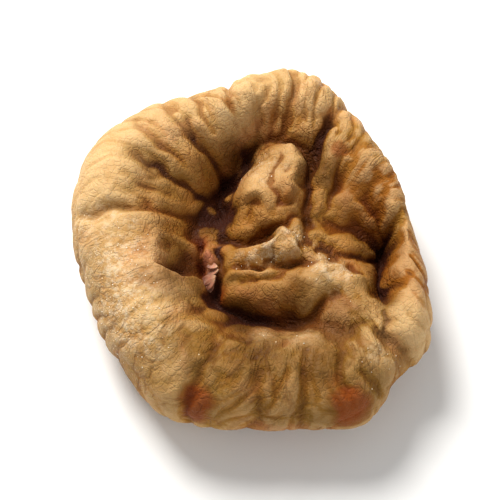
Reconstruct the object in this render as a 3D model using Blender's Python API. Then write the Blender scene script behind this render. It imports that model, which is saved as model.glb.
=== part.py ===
"""A dried fig: one soft fruit, sun dried and pressed to a thick disc.

It lies on its stem side with its eye side up. The origin is on the surface that it rests on, under
the middle of the fruit. +Z is up and -Y is the side nearest to someone who looks at its face.

The fruit grew as one piece, so it is one body. A ball of small triangles is drawn out to the pressed
disc, its face sinks to a crumpled hollow inside a swollen rim, creases and pleats are folded into the
skin, and the dried stem is joined on underneath. All the shape's sizes are in millimetres.
"""

import math

import bmesh
import bpy
import numpy as np

MM = 0.001

# The pressed disc: its half width in each direction round the fruit, counter-clockwise from +X
OUTLINE = (
    (0, 19.8), (20, 19.0), (40, 19.2), (58, 21.2), (72, 22.4), (88, 20.9), (106, 19.2), (128, 20.6),
    (152, 21.8), (176, 21.1), (200, 20.2), (222, 21.2), (247, 23.8), (272, 23.3), (288, 24.6),
    (302, 26.2), (316, 24.6), (328, 24.8), (342, 22.0),
)
WIDEST_HEIGHT = 7.2
RISE_ABOVE_WIDEST = 10.2
DROP_BELOW_WIDEST = 8.3
SQUARENESS = 2.6
RISE_BY_DIRECTION = (
    (20, -0.7), (75, 0.3), (140, 0.9), (185, 0.6), (230, -0.7), (268, -2.3), (300, -2.5), (340, -1.4),
)
RISE_SPREAD = 0.6

# The hollow in the face. Reach is 0 at its middle and 1 at the outline
HOLLOW_CENTRE = (4.4, 0.9)
HOLLOW_EDGE = (
    (0, 0.75), (24, 0.54), (50, 0.40), (74, 0.44), (98, 0.52), (135, 0.43), (180, 0.42), (225, 0.46),
    (270, 0.47), (300, 0.50), (324, 0.62), (342, 0.74),
)
RIM_CREST = ((0, 0.96), (60, 0.94), (150, 0.95), (225, 0.90), (275, 0.78), (320, 0.92))
HOLLOW_DEPTH = (
    (0, 7.8), (24, 6.2), (50, 5.8), (74, 6.6), (98, 8.8), (150, 9.6), (225, 8.6), (272, 6.0),
    (308, 4.8), (332, 6.0),
)
HOLLOW_FLOOR = 7.2
FLOOR_REACH = 0.42
RIM_PUFF = 2.0
EASY_SLOPE = (
    (0, 0.3), (24, 1.0), (50, 1.0), (74, 0.9), (98, 0.3), (130, 0.0), (225, 0.0), (272, 0.7), (300, 0.8),
    (324, 0.5), (342, 0.2),
)
ISLAND_RISE = 1.6
ISLAND_EASE = 1.2

# Folds that stand up in the face, each as a path seen from above, with its width and height
FOLDS = (
    (((5.8, 11.8), (3.3, 6.6), (0.0, 2.0)), 3.6, 2.8),
    (((6.0, 8.4), (5.0, 4.8), (4.6, 2.0)), 2.0, 2.1),
    (((-2.0, 6.0), (-1.9, 1.8)), 1.7, 1.5),
    (((8.4, 18.2), (7.0, 14.6), (5.6, 10.8)), 2.2, 2.2),
    (((10.8, 10.6), (9.0, 7.6), (7.9, 4.6)), 1.4, 2.0),
    (((13.8, 10.8), (12.0, 6.0), (9.6, 1.2)), 4.4, 2.2),
    (((-1.6, -3.9), (1.8, -3.3), (5.6, -1.0)), 2.3, 2.6),
    (((3.2, -3.2), (6.8, -3.2)), 1.9, 2.1),
    (((-2.8, -5.4), (2.0, -6.1), (6.7, -6.0), (9.4, -5.6)), 1.2, 2.0),
    (((-2.9, -7.2), (0.2, -7.9), (4.2, -8.7), (8.8, -8.9)), 2.2, 2.3),
    (((11.4, -6.4), (12.2, -12.4)), 3.4, 1.6),
    (((-4.9, -1.9), (-4.4, -3.4), (-3.7, -5.0)), 1.2, 1.8),
    (((-12.4, -4.8), (-10.2, -9.8), (-8.6, -16.0)), 6.0, 0.9),
    (((-1.2, -14.0), (-3.0, -19.4)), 3.2, 0.7),
    (((3.6, -12.6), (3.6, -21.0)), 3.0, 0.6),
)
FOLD_SHARE_ON_RIM = 0.35
FOLD_WANDER = 0.5
FOLD_WANDER_SPAN = 5.5

# Creases in the face, each as a path seen from above, with its width and depth
CREASES = (
    (((-20.8, 2.9), (-16.1, 0.9), (-11.4, 0.7), (-6.1, 2.2), (-3.8, 2.4)), 2.3, 1.3),
    (((-16.6, 10.2), (-11.1, 7.3), (-8.0, 5.6), (-4.0, 4.8)), 2.8, 1.6),
    (((-10.6, 15.0), (-7.2, 11.2), (-3.4, 8.8)), 2.4, 1.5),
    (((-8.2, 16.6), (-7.6, 13.2), (-5.2, 10.6)), 1.8, 1.1),
    (((-4.9, 18.8), (-4.0, 14.4), (-2.4, 10.4)), 1.9, 1.4),
    (((0.2, 20.2), (0.6, 15.8), (1.5, 12.0)), 1.7, 1.4),
    (((2.9, 19.6), (3.0, 15.6), (2.8, 12.0)), 1.6, 1.2),
    (((6.8, 20.2), (5.5, 15.4), (4.1, 12.0)), 1.7, 1.3),
    (((12.6, 16.6), (10.6, 12.0), (8.8, 9.4), (7.4, 6.2)), 1.8, 1.5),
    (((0.8, 12.4), (-1.6, 11.4), (-3.0, 9.4), (-3.6, 6.6), (-3.6, 3.0), (-2.4, -1.2)), 3.1, 3.0),
    (((2.4, 13.0), (4.0, 12.4), (5.4, 12.8)), 1.4, 0.7),
    (((-2.8, -0.4), (-0.6, -1.0), (1.3, -0.8), (4.3, 0.5), (6.8, 1.0)), 1.6, 1.5),
    (((8.0, 12.6), (7.0, 9.0), (6.5, 4.7), (7.0, 0.4), (7.7, -2.6)), 1.9, 1.8),
    (((11.6, 9.0), (10.0, 6.0), (8.7, 2.4)), 1.2, 0.8),
    (((14.6, 7.0), (11.8, 3.8), (9.0, 0.8)), 1.2, 0.55),
    (((16.0, 3.4), (12.8, 1.2), (9.2, -0.9)), 1.2, 0.55),
    (((7.5, -2.9), (10.0, -2.6), (12.6, -2.0), (16.2, -1.2)), 1.9, 1.6),
    (((15.6, 2.6), (16.6, -1.8), (17.0, -5.5), (16.7, -11.0), (16.9, -17.4)), 2.9, 3.3),
    (((-3.0, -4.7), (1.8, -5.0), (5.7, -5.0), (11.0, -4.3)), 1.2, 1.2),
    (((-1.6, -6.9), (2.3, -7.2), (7.9, -7.2), (10.4, -6.8)), 1.1, 0.8),
    (((-3.2, -0.6), (-3.0, -3.4), (-3.4, -6.6), (-3.4, -9.0), (-1.0, -10.2)), 1.9, 2.5),
    (((-2.4, -9.6), (1.5, -10.1), (5.3, -11.0), (9.4, -11.8)), 1.6, 1.7),
    (((-5.8, -0.4), (-5.5, -3.4), (-5.2, -7.2)), 1.3, 1.5),
    (((-3.4, -12.2), (-5.0, -17.6), (-6.4, -20.8), (-7.8, -24.0)), 1.9, 0.9),
    (((1.8, -14.9), (1.5, -20.1), (0.9, -23.6)), 2.0, 0.5),
    (((6.6, -14.8), (6.3, -19.4), (5.8, -24.0)), 1.4, 0.7),
    (((9.7, -11.8), (10.2, -16.7), (11.6, -21.8)), 1.8, 0.9),
    (((11.4, -10.4), (15.6, -13.8), (19.0, -16.4)), 1.9, 0.9),
    (((13.0, -17.6), (15.4, -21.2)), 1.5, 0.5),
)
CREASE_CHANGE = 0.3
CREASE_CHANGE_SPAN = 7.0
VALLEY_ROUNDING = 0.22
PATH_END_SHARE = 0.22
PATH_END_STRENGTH = 0.25

# The pocket beside the hollow, which cuts in under its near lip: middle, length, width, heading, depth
POCKET = ((-8.9, -4.1), 6.8, 4.8, 22, 3.2)
POCKET_LIP = 2.4

# Pleats: how many there are to the round, their length, and their height in each part of the skin
PLEATS = 46
PLEAT_LENGTH = 12.0
UNDER_PLEATS = 27
UNDER_PLEAT_LENGTH = 17.0
FACE_PLEAT_HEIGHT = 0.7
WALL_PLEAT_HEIGHT = 0.42
UNDER_PLEAT_HEIGHT = 0.95
PLEAT_STRENGTH = (
    (0, 0.5), (45, 0.5), (70, 0.8), (95, 1.1), (125, 1.0), (165, 0.6), (205, 0.35), (235, 0.4),
    (275, 0.55), (320, 0.5),
)
PLEAT_JITTER = (0.08, 0.92)
PLEAT_BACK_WIDTH = 0.75
PLEAT_WANDER = 0.014
PLEAT_WANDER_SPAN = 15.0
PLEAT_WIGGLE = 0.0035
PLEAT_WIGGLE_SPAN = 4.5
PLEAT_CHANGE = 0.3
PLEAT_CHANGE_SPAN = 20.0
LUMP_HEIGHT = 0.26
LUMP_SPAN = 11.0
PROFILE_LENGTH = 57.0

# Where each part of the skin begins and is full, by height share: 1 at the top and -1 at the bottom
SINK_BAND = (0.0, 0.18)
FACE_BAND = (0.02, 0.4)
CREASE_BAND = (-0.35, 0.05)
UNDER_BAND = (-0.3, -0.8)
PUCKER_BAND = (-0.2, -0.5)
CENTRE_BAND = (-0.1, 0.75)
PLAIN_ISLAND_BAND = (0.48, 0.72)

# The stem side: the pucker that the skin draws into, and the stub of dried stem bent over in it
STEM_PLACE = (1.2, 0.8)
PUCKER_WIDTH = 5.2
PUCKER_DEPTH = 4.1
PUCKER_STEEPNESS = 2.4
STUB_PATH = ((1.2, 0.8, 4.6), (0.9, 0.7, 3.0), (-0.2, 0.2, 2.05), (-1.7, -0.5, 1.7), (-3.1, -1.2, 1.65))
STUB_RADII = (3.0, 2.2, 1.55, 1.25, 1.3)
STUB_FLUTES = 5
STUB_FLUTE_DEPTH = 0.11
STUB_SIDES = 20
STUB_SIDEWAYS = (0.42, -0.91, 0.0)

# Mesh
BALL_SUBDIVISIONS = 7
TRIANGLES = 10800
SOLE_SNAP = 0.08

SKIN_COLOUR = (0.52, 0.29, 0.11, 1.0)
SKIN_ROUGHNESS = 0.62


def clear_scene():
    for obj in list(bpy.data.objects):
        bpy.data.objects.remove(obj)


def by_direction(knots, degrees):
    """A smooth closed curve through (direction, value) knots, read at each of these directions."""
    at = np.array([k[0] for k in knots], float)
    value = np.array([k[1] for k in knots], float)
    at = np.concatenate([at[-2:] - 360, at, at[:2] + 360])
    value = np.concatenate([value[-2:], value, value[:2]])
    slope = np.gradient(value, at)
    degrees = np.mod(degrees, 360)
    i = np.clip(np.searchsorted(at, degrees, side="right") - 1, 0, len(at) - 2)
    span = at[i + 1] - at[i]
    t = (degrees - at[i]) / span
    return (
        value[i] * (1 + 2 * t) * (1 - t) ** 2
        + value[i + 1] * t ** 2 * (3 - 2 * t)
        + span * (slope[i] * t * (1 - t) ** 2 - slope[i + 1] * t ** 2 * (1 - t))
    )


def ease(start, full, value):
    """0 before the start and 1 from the full value on, with a smooth step between them."""
    t = np.clip((value - start) / (full - start), 0, 1)
    return t * t * (3 - 2 * t)


def waves(points, span, seed, count=14):
    """A smooth random field, about -1 to 1, whose lumps are about this far apart."""
    rng = np.random.default_rng(seed)
    headings = rng.normal(size=(count, 3))
    headings /= np.linalg.norm(headings, axis=1, keepdims=True)
    lengths = span * rng.uniform(0.7, 1.5, count)
    phases = rng.uniform(0, 2 * math.pi, count)
    total = np.cos(points @ (headings.T * (2 * math.pi / lengths)) + phases).sum(axis=1)
    return total / math.sqrt(2 * count)


def pleats(turn, along, count, length, seed):
    """Folds that run along the profile, 1 on their rounded backs and 0 in the sharp valleys between.

    turn is the share of a full round, and along the distance down the profile. The folds are the
    cells of a stretched, jittered grid, so they taper, fork and end as creased skin does.
    """
    rows = int(PROFILE_LENGTH / length) + 3
    shift = np.random.default_rng(seed).uniform(*PLEAT_JITTER, (rows, count, 2))
    a = turn * count
    b = along / length + 1
    column = np.floor(a).astype(int)
    row = np.floor(b).astype(int)
    distances = []
    for i in (-1, 0, 1):
        for j in (-1, 0, 1):
            seat = shift[np.clip(row + j, 0, rows - 1), (column + i) % count]
            distances.append(np.hypot(column + i + seat[:, 0] - a, row + j + seat[:, 1] - b))
    nearest = np.sort(np.stack(distances), axis=0)
    back = np.clip((nearest[1] - nearest[0]) / PLEAT_BACK_WIDTH, 0, 1)
    return 1 - (1 - back) ** 2


def curve_through(path, steps=10):
    """Points on a smooth curve through the points of a path."""
    p = np.array([path[0], *path, path[-1]], float)
    made = []
    for i in range(1, len(p) - 2):
        for t in np.arange(steps) / steps:
            made.append(0.5 * (
                2 * p[i] + (p[i + 1] - p[i - 1]) * t
                + (2 * p[i - 1] - 5 * p[i] + 4 * p[i + 1] - p[i + 2]) * t ** 2
                + (3 * p[i] - 3 * p[i + 1] + p[i + 2] - p[i - 1]) * t ** 3
            ))
    return np.array([*made, p[-1]])


def beside_path(plan, path, width):
    """How near each point is to a path, 1 on it to 0 at the width and beyond, and its fade to the ends."""
    line = curve_through(path)
    nearest = np.full(len(plan), np.inf)
    share = np.zeros(len(plan))
    for i, (start, end) in enumerate(zip(line[:-1], line[1:])):
        step = end - start
        t = np.clip((plan - start) @ step / (step @ step), 0, 1)
        away = np.linalg.norm(plan - start - t[:, None] * step, axis=1)
        closer = away < nearest
        nearest[closer] = away[closer]
        share[closer] = ((i + t) / (len(line) - 1))[closer]
    fade = ease(0, PATH_END_SHARE, share) * ease(0, PATH_END_SHARE, 1 - share)
    near = 1 - np.clip(np.hypot(nearest, VALLEY_ROUNDING) / width, 0, 1)
    return near, PATH_END_STRENGTH + (1 - PATH_END_STRENGTH) * fade


def crease(plan, path, width, depth):
    """The depth of a sharp valley with rounded shoulders that follows a path."""
    near, fade = beside_path(plan, path, width)
    return depth * fade * near ** 2


def fold(plan, path, width, height):
    """The height of a round-backed fold that follows a path."""
    near, fade = beside_path(plan, path, width)
    return height * fade * (1 - (1 - near) ** 2)


def pocket(plan, middle, length, width, heading, depth):
    """The depth of a pressed-in pocket, steeper on its near side."""
    turn = math.radians(heading)
    offset = plan - np.array(middle)
    along = offset @ np.array([math.cos(turn), math.sin(turn)])
    across = offset @ np.array([-math.sin(turn), math.cos(turn)])
    across = np.where(across < 0, across * POCKET_LIP, across)
    return depth * np.clip(1 - (along * 2 / length) ** 2 - (across * 2 / width) ** 2, 0, 1) ** 0.8


def reach_from_hollow(plan):
    """Each point's direction from the hollow's middle, and how far it is on the way to the outline."""
    round_trip = np.arange(0, 360, 0.5)
    radius = by_direction(OUTLINE, round_trip)
    turn = np.radians(round_trip)
    rim = np.stack([radius * np.cos(turn), radius * np.sin(turn)], axis=1) - HOLLOW_CENTRE
    rim_direction = np.degrees(np.arctan2(rim[:, 1], rim[:, 0])) % 360
    order = np.argsort(rim_direction)
    offset = plan - HOLLOW_CENTRE
    direction = np.degrees(np.arctan2(offset[:, 1], offset[:, 0])) % 360
    limit = np.interp(direction, rim_direction[order], np.linalg.norm(rim, axis=1)[order], period=360)
    return direction, np.linalg.norm(offset, axis=1) / limit


def pressed_disc(ball):
    """The plain pressed disc: points, outward directions and height share for directions on a ball."""
    heading = np.arctan2(ball[:, 1], ball[:, 0])
    flat = np.hypot(ball[:, 0], ball[:, 1])
    up = ball[:, 2]
    out = flat ** (2 / SQUARENESS)
    high = np.sign(up) * np.abs(up) ** (2 / SQUARENESS)
    radius = by_direction(OUTLINE, np.degrees(heading))
    lean = by_direction(RISE_BY_DIRECTION, np.degrees(heading)) * ease(0, RISE_SPREAD, out)
    height = np.where(up > 0, RISE_ABOVE_WIDEST + lean, DROP_BELOW_WIDEST)
    points = np.stack([
        radius * out * np.cos(heading),
        radius * out * np.sin(heading),
        WIDEST_HEIGHT + height * high,
    ], axis=1)
    steep = SQUARENESS - 1
    normal = np.stack([
        out ** steep / radius * np.cos(heading),
        out ** steep / radius * np.sin(heading),
        np.sign(up) * np.abs(high) ** steep / height,
    ], axis=1)
    return points, normal / np.linalg.norm(normal, axis=1, keepdims=True), up


def sink_face(plan):
    """How far the face drops from the plain disc: the hollow inside its rim, less the folds in it."""
    direction, reach = reach_from_hollow(plan)
    edge = by_direction(HOLLOW_EDGE, direction)
    crest = by_direction(RIM_CREST, direction)
    inward = np.clip((crest - reach) / (crest - edge), 0, 1)
    depth = by_direction(HOLLOW_DEPTH, direction)
    depth = HOLLOW_FLOOR + (depth - HOLLOW_FLOOR) * ease(0, FLOOR_REACH, reach)
    island = ISLAND_RISE * np.clip(1 - (reach / edge) ** 2, 0, 1) ** ISLAND_EASE
    standing = np.max([fold(plan, *shape) for shape in FOLDS], axis=0)
    standing *= FOLD_SHARE_ON_RIM + (1 - FOLD_SHARE_ON_RIM) * inward
    easy = np.clip(by_direction(EASY_SLOPE, direction), 0, 1)
    slope = (1 - easy) * inward ** RIM_PUFF + easy * ease(0, 1, inward)
    return depth * slope - island - standing + pocket(plan, *POCKET)


def wandering(points):
    """Where each point lies seen from above, shifted a little so that folds and creases don't run straight."""
    shift = [waves(points, FOLD_WANDER_SPAN, seed=axis_seed) for axis_seed in (61, 62)]
    return points[:, :2] + FOLD_WANDER * np.stack(shift, axis=1)


def pucker_stem_side(plan):
    """How far the underside is drawn up round the stem."""
    away = np.linalg.norm(plan - STEM_PLACE, axis=1)
    return PUCKER_DEPTH * np.exp(-((away / PUCKER_WIDTH) ** PUCKER_STEEPNESS))


def fold_skin(points, up):
    """Height of the pleats and lumps all round the fruit, out from the plain disc."""
    face_share = ease(*CENTRE_BAND, up)[:, None]
    centre = face_share * np.array(HOLLOW_CENTRE) + (1 - face_share) * np.array(STEM_PLACE)
    offset = points[:, :2] - centre
    turn = np.arctan2(offset[:, 1], offset[:, 0]) / (2 * math.pi)
    strength = by_direction(PLEAT_STRENGTH, 360 * turn)
    turn = turn + PLEAT_WANDER * waves(points, PLEAT_WANDER_SPAN, seed=4)
    turn = (turn + PLEAT_WIGGLE * waves(points, PLEAT_WIGGLE_SPAN, seed=5)) % 1
    along = PROFILE_LENGTH * (0.5 - np.arcsin(np.clip(up, -1, 1)) / math.pi)

    on_face = ease(*FACE_BAND, up)
    on_rim = ease(*PLAIN_ISLAND_BAND, reach_from_hollow(points[:, :2])[1])
    beneath = ease(*UNDER_BAND, up)
    height = FACE_PLEAT_HEIGHT * strength * on_face * on_rim + WALL_PLEAT_HEIGHT * (1 - on_face) * (1 - beneath)
    folds = height * (pleats(turn, along, PLEATS, PLEAT_LENGTH, seed=11) - 1)
    under_folds = pleats(turn, along, UNDER_PLEATS, UNDER_PLEAT_LENGTH, seed=17) - 1
    folds += UNDER_PLEAT_HEIGHT * beneath * under_folds
    change = 0.8 + PLEAT_CHANGE * waves(points, PLEAT_CHANGE_SPAN, seed=7)
    return folds * change + LUMP_HEIGHT * waves(points, LUMP_SPAN, seed=31)


def fig_points(ball):
    """Where each direction on a ball lies on the dried fig's skin."""
    points, normal, up = pressed_disc(ball)
    plan = wandering(points)
    cut = sum(crease(plan, *shape) for shape in CREASES) * ease(*CREASE_BAND, up)
    cut *= 1 + CREASE_CHANGE * waves(points, CREASE_CHANGE_SPAN, seed=67)
    moved = points + normal * (fold_skin(points, up) - cut)[:, None]
    moved[:, 2] += ease(*PUCKER_BAND, up) * pucker_stem_side(plan) - ease(*SINK_BAND, up) * sink_face(plan)
    return moved


def set_down(points):
    """Flattens the sole on the resting plane and centres the fruit's box over the origin."""
    points[:, 2] = np.maximum(points[:, 2], 0)
    points[:, :2] -= (points[:, :2].max(axis=0) + points[:, :2].min(axis=0)) / 2
    return points


def skin_material():
    material = bpy.data.materials.new("fig_skin")
    material.use_nodes = True
    shader = material.node_tree.nodes["Principled BSDF"]
    shader.inputs["Base Color"].default_value = SKIN_COLOUR
    shader.inputs["Roughness"].default_value = SKIN_ROUGHNESS
    shader.inputs["Metallic"].default_value = 0.0
    return material


def add_object(name, bm):
    mesh = bpy.data.meshes.new(name)
    bm.to_mesh(mesh)
    bm.free()
    obj = bpy.data.objects.new(name, mesh)
    bpy.context.scene.collection.objects.link(obj)
    return obj


def make_fruit():
    """The fruit's body: the finely folded skin, thinned to a solid of moderate size."""
    bm = bmesh.new()
    bmesh.ops.create_icosphere(bm, subdivisions=BALL_SUBDIVISIONS, radius=1.0)
    ball = np.array([v.co for v in bm.verts], float)
    ball /= np.linalg.norm(ball, axis=1, keepdims=True)
    for vert, place in zip(bm.verts, set_down(fig_points(ball)) * MM):
        vert.co = place
    fruit = add_object("fig", bm)

    thin = fruit.modifiers.new("thin", "DECIMATE")
    thin.ratio = TRIANGLES / len(fruit.data.polygons)
    graph = bpy.context.evaluated_depsgraph_get()
    thinned = bpy.data.meshes.new_from_object(fruit.evaluated_get(graph))
    fruit.modifiers.remove(thin)
    fruit.data = thinned
    for vert in thinned.vertices:
        if vert.co.z < SOLE_SNAP * MM:
            vert.co.z = 0.0
    return fruit


def make_stub():
    """The stub of dried stem, fluted, bent over inside the pucker and cut off short."""
    path = curve_through(STUB_PATH, steps=3)
    radii = np.interp(np.linspace(0, 1, len(path)), np.linspace(0, 1, len(STUB_RADII)), STUB_RADII)
    headings = np.gradient(path, axis=0)
    headings /= np.linalg.norm(headings, axis=1, keepdims=True)
    bm = bmesh.new()
    rings = []
    for middle, ahead, radius in zip(path, headings, radii):
        across = np.cross(ahead, STUB_SIDEWAYS)
        across /= np.linalg.norm(across)
        over = np.cross(ahead, across)
        ring = []
        for turn in np.arange(STUB_SIDES) * 2 * math.pi / STUB_SIDES:
            reach = radius * (1 + STUB_FLUTE_DEPTH * math.cos(STUB_FLUTES * turn))
            place = middle + reach * (across * math.cos(turn) + over * math.sin(turn))
            ring.append(bm.verts.new(place * MM))
        rings.append(ring)
    for first, second in zip(rings[:-1], rings[1:]):
        for i in range(STUB_SIDES):
            j = (i + 1) % STUB_SIDES
            bm.faces.new((first[i], first[j], second[j], second[i]))
    bm.faces.new(rings[0])
    bm.faces.new(rings[-1])
    bmesh.ops.recalc_face_normals(bm, faces=bm.faces)
    stub = add_object("stem_stub", bm)
    stub.hide_render = True
    stub.display_type = "WIRE"
    return stub


def main():
    clear_scene()
    fig = make_fruit()
    join = fig.modifiers.new("join_stub", "BOOLEAN")
    join.operation = "UNION"
    join.object = make_stub()
    fig.data.shade_smooth()
    fig.data.materials.append(skin_material())


main()
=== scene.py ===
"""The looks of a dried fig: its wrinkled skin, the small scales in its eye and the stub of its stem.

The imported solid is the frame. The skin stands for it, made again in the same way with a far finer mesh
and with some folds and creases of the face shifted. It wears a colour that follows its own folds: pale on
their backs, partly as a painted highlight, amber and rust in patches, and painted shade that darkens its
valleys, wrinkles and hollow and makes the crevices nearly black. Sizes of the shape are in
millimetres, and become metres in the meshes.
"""

import math

import bpy
import numpy as np
from bpy.props import FloatProperty, FloatVectorProperty, PointerProperty
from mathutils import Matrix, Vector


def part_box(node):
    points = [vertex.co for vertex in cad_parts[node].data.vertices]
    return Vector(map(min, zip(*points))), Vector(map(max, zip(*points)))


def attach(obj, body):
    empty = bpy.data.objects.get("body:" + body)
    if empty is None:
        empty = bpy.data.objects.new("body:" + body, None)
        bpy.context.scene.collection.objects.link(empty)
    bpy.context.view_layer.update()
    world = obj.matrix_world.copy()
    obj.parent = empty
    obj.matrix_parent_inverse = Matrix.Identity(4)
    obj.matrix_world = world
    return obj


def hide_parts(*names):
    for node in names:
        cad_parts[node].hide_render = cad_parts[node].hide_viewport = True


bl_info = {
    "name": "Dried fig",
    "version": (1, 0, 0),
    "blender": (4, 5, 0),
    "location": "3D View > Sidebar > Fig",
    "description": "Builds the skin, eye and stem of a pressed dried fig on a plain studio floor",
    "category": "Add Mesh",
}

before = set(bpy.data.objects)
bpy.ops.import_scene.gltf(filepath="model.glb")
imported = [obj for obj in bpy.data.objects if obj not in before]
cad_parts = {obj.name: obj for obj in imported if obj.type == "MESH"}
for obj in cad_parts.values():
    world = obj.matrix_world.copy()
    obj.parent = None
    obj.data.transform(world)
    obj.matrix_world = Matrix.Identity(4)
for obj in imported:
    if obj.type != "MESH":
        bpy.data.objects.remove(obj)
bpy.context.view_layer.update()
CAD_LOW, CAD_HIGH = (np.array(corner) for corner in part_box("fig"))

MM = 0.001
ROOT = "root"
NODE = "fig"
SKIN = "fig_skin"

# The pressed disc: its half width in each direction round the fruit, counter-clockwise from +X
OUTLINE = (
    (0, 19.8), (20, 19.0), (40, 19.2), (58, 21.2), (72, 22.4), (88, 20.9), (106, 19.2), (128, 20.6),
    (152, 21.8), (176, 21.1), (200, 20.2), (222, 21.2), (247, 23.8), (272, 23.3), (288, 24.6),
    (302, 26.2), (316, 24.6), (328, 24.8), (342, 22.0),
)
WIDEST_HEIGHT = 7.2
RISE_ABOVE_WIDEST = 10.2
DROP_BELOW_WIDEST = 8.3
SQUARENESS = 2.6
RISE_BY_DIRECTION = (
    (20, -0.7), (75, 0.3), (140, 0.9), (185, 0.6), (230, -0.7), (268, -2.3), (300, -2.5), (340, -1.4),
)
RISE_SPREAD = 0.6

# The hollow in the face. Reach is 0 at its middle and 1 at the outline
HOLLOW_CENTRE = (4.4, 0.9)
HOLLOW_EDGE = (
    (0, 0.75), (24, 0.54), (50, 0.40), (74, 0.44), (98, 0.52), (135, 0.43), (180, 0.42), (225, 0.46),
    (270, 0.47), (300, 0.50), (324, 0.62), (342, 0.74),
)
RIM_CREST = ((0, 0.96), (60, 0.94), (150, 0.95), (225, 0.90), (275, 0.78), (320, 0.92))
HOLLOW_DEPTH = (
    (0, 7.8), (24, 6.2), (50, 5.8), (74, 6.6), (98, 8.8), (150, 9.6), (225, 8.6), (272, 6.0),
    (308, 4.8), (332, 6.0),
)
HOLLOW_FLOOR = 7.2
FLOOR_REACH = 0.42
RIM_PUFF = 2.0
EASY_SLOPE = (
    (0, 0.3), (24, 1.0), (50, 1.0), (74, 0.9), (98, 0.3), (130, 0.0), (225, 0.0), (272, 0.7), (300, 0.8),
    (324, 0.5), (342, 0.2),
)
ISLAND_RISE = 1.6
ISLAND_EASE = 1.2

# Folds that stand up in the face, each as a path seen from above, with its width and height. They and
# the creases wander: each wander has its size, its span and how much larger it is in the hollow
FOLDS = (
    (((3.4, 12.2), (2.4, 8.6), (1.2, 5.4), (0.6, 2.2)), 3.0, 2.7),
    (((4.6, 11.0), (4.6, 7.2), (4.2, 3.2)), 2.4, 2.6),
    (((8.4, 18.2), (7.0, 14.6), (5.6, 10.8)), 2.2, 2.2),
    (((11.0, 11.4), (9.8, 8.4), (8.4, 4.4)), 1.7, 2.3),
    (((15.0, 10.0), (14.8, 5.4), (13.0, 1.2)), 5.2, 2.3),
    (((-1.2, -3.9), (1.8, -2.9), (4.9, -0.6)), 2.0, 2.7),
    (((2.6, -3.3), (5.6, -2.8)), 2.0, 2.4),
    (((-2.8, -5.2), (0.4, -5.6), (3.6, -5.2)), 1.3, 2.0),
    (((-2.8, -5.9), (0.4, -7.2), (4.6, -7.6), (9.2, -7.2), (13.2, -6.2)), 2.8, 1.7),
    (((11.2, -5.4), (11.8, -12.4)), 3.4, 1.6),
    (((-4.9, -1.9), (-4.4, -3.4), (-3.7, -5.0)), 1.2, 1.8),
    (((-12.4, -4.8), (-10.2, -9.8), (-8.6, -16.0)), 6.0, 0.9),
    (((-21.0, 5.0), (-15.4, 4.2)), 3.4, 1.0),
    (((-1.2, -14.0), (-3.0, -19.4)), 3.2, 0.7),
    (((3.6, -12.6), (3.6, -21.0)), 3.0, 0.6),
)
FOLD_SHARE_ON_RIM = 0.35
FOLD_WANDER = ((0.5, 5.5, 0.0), (0.15, 2.2, 0.18))
WANDER_REACH = (0.3, 0.55)

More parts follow.
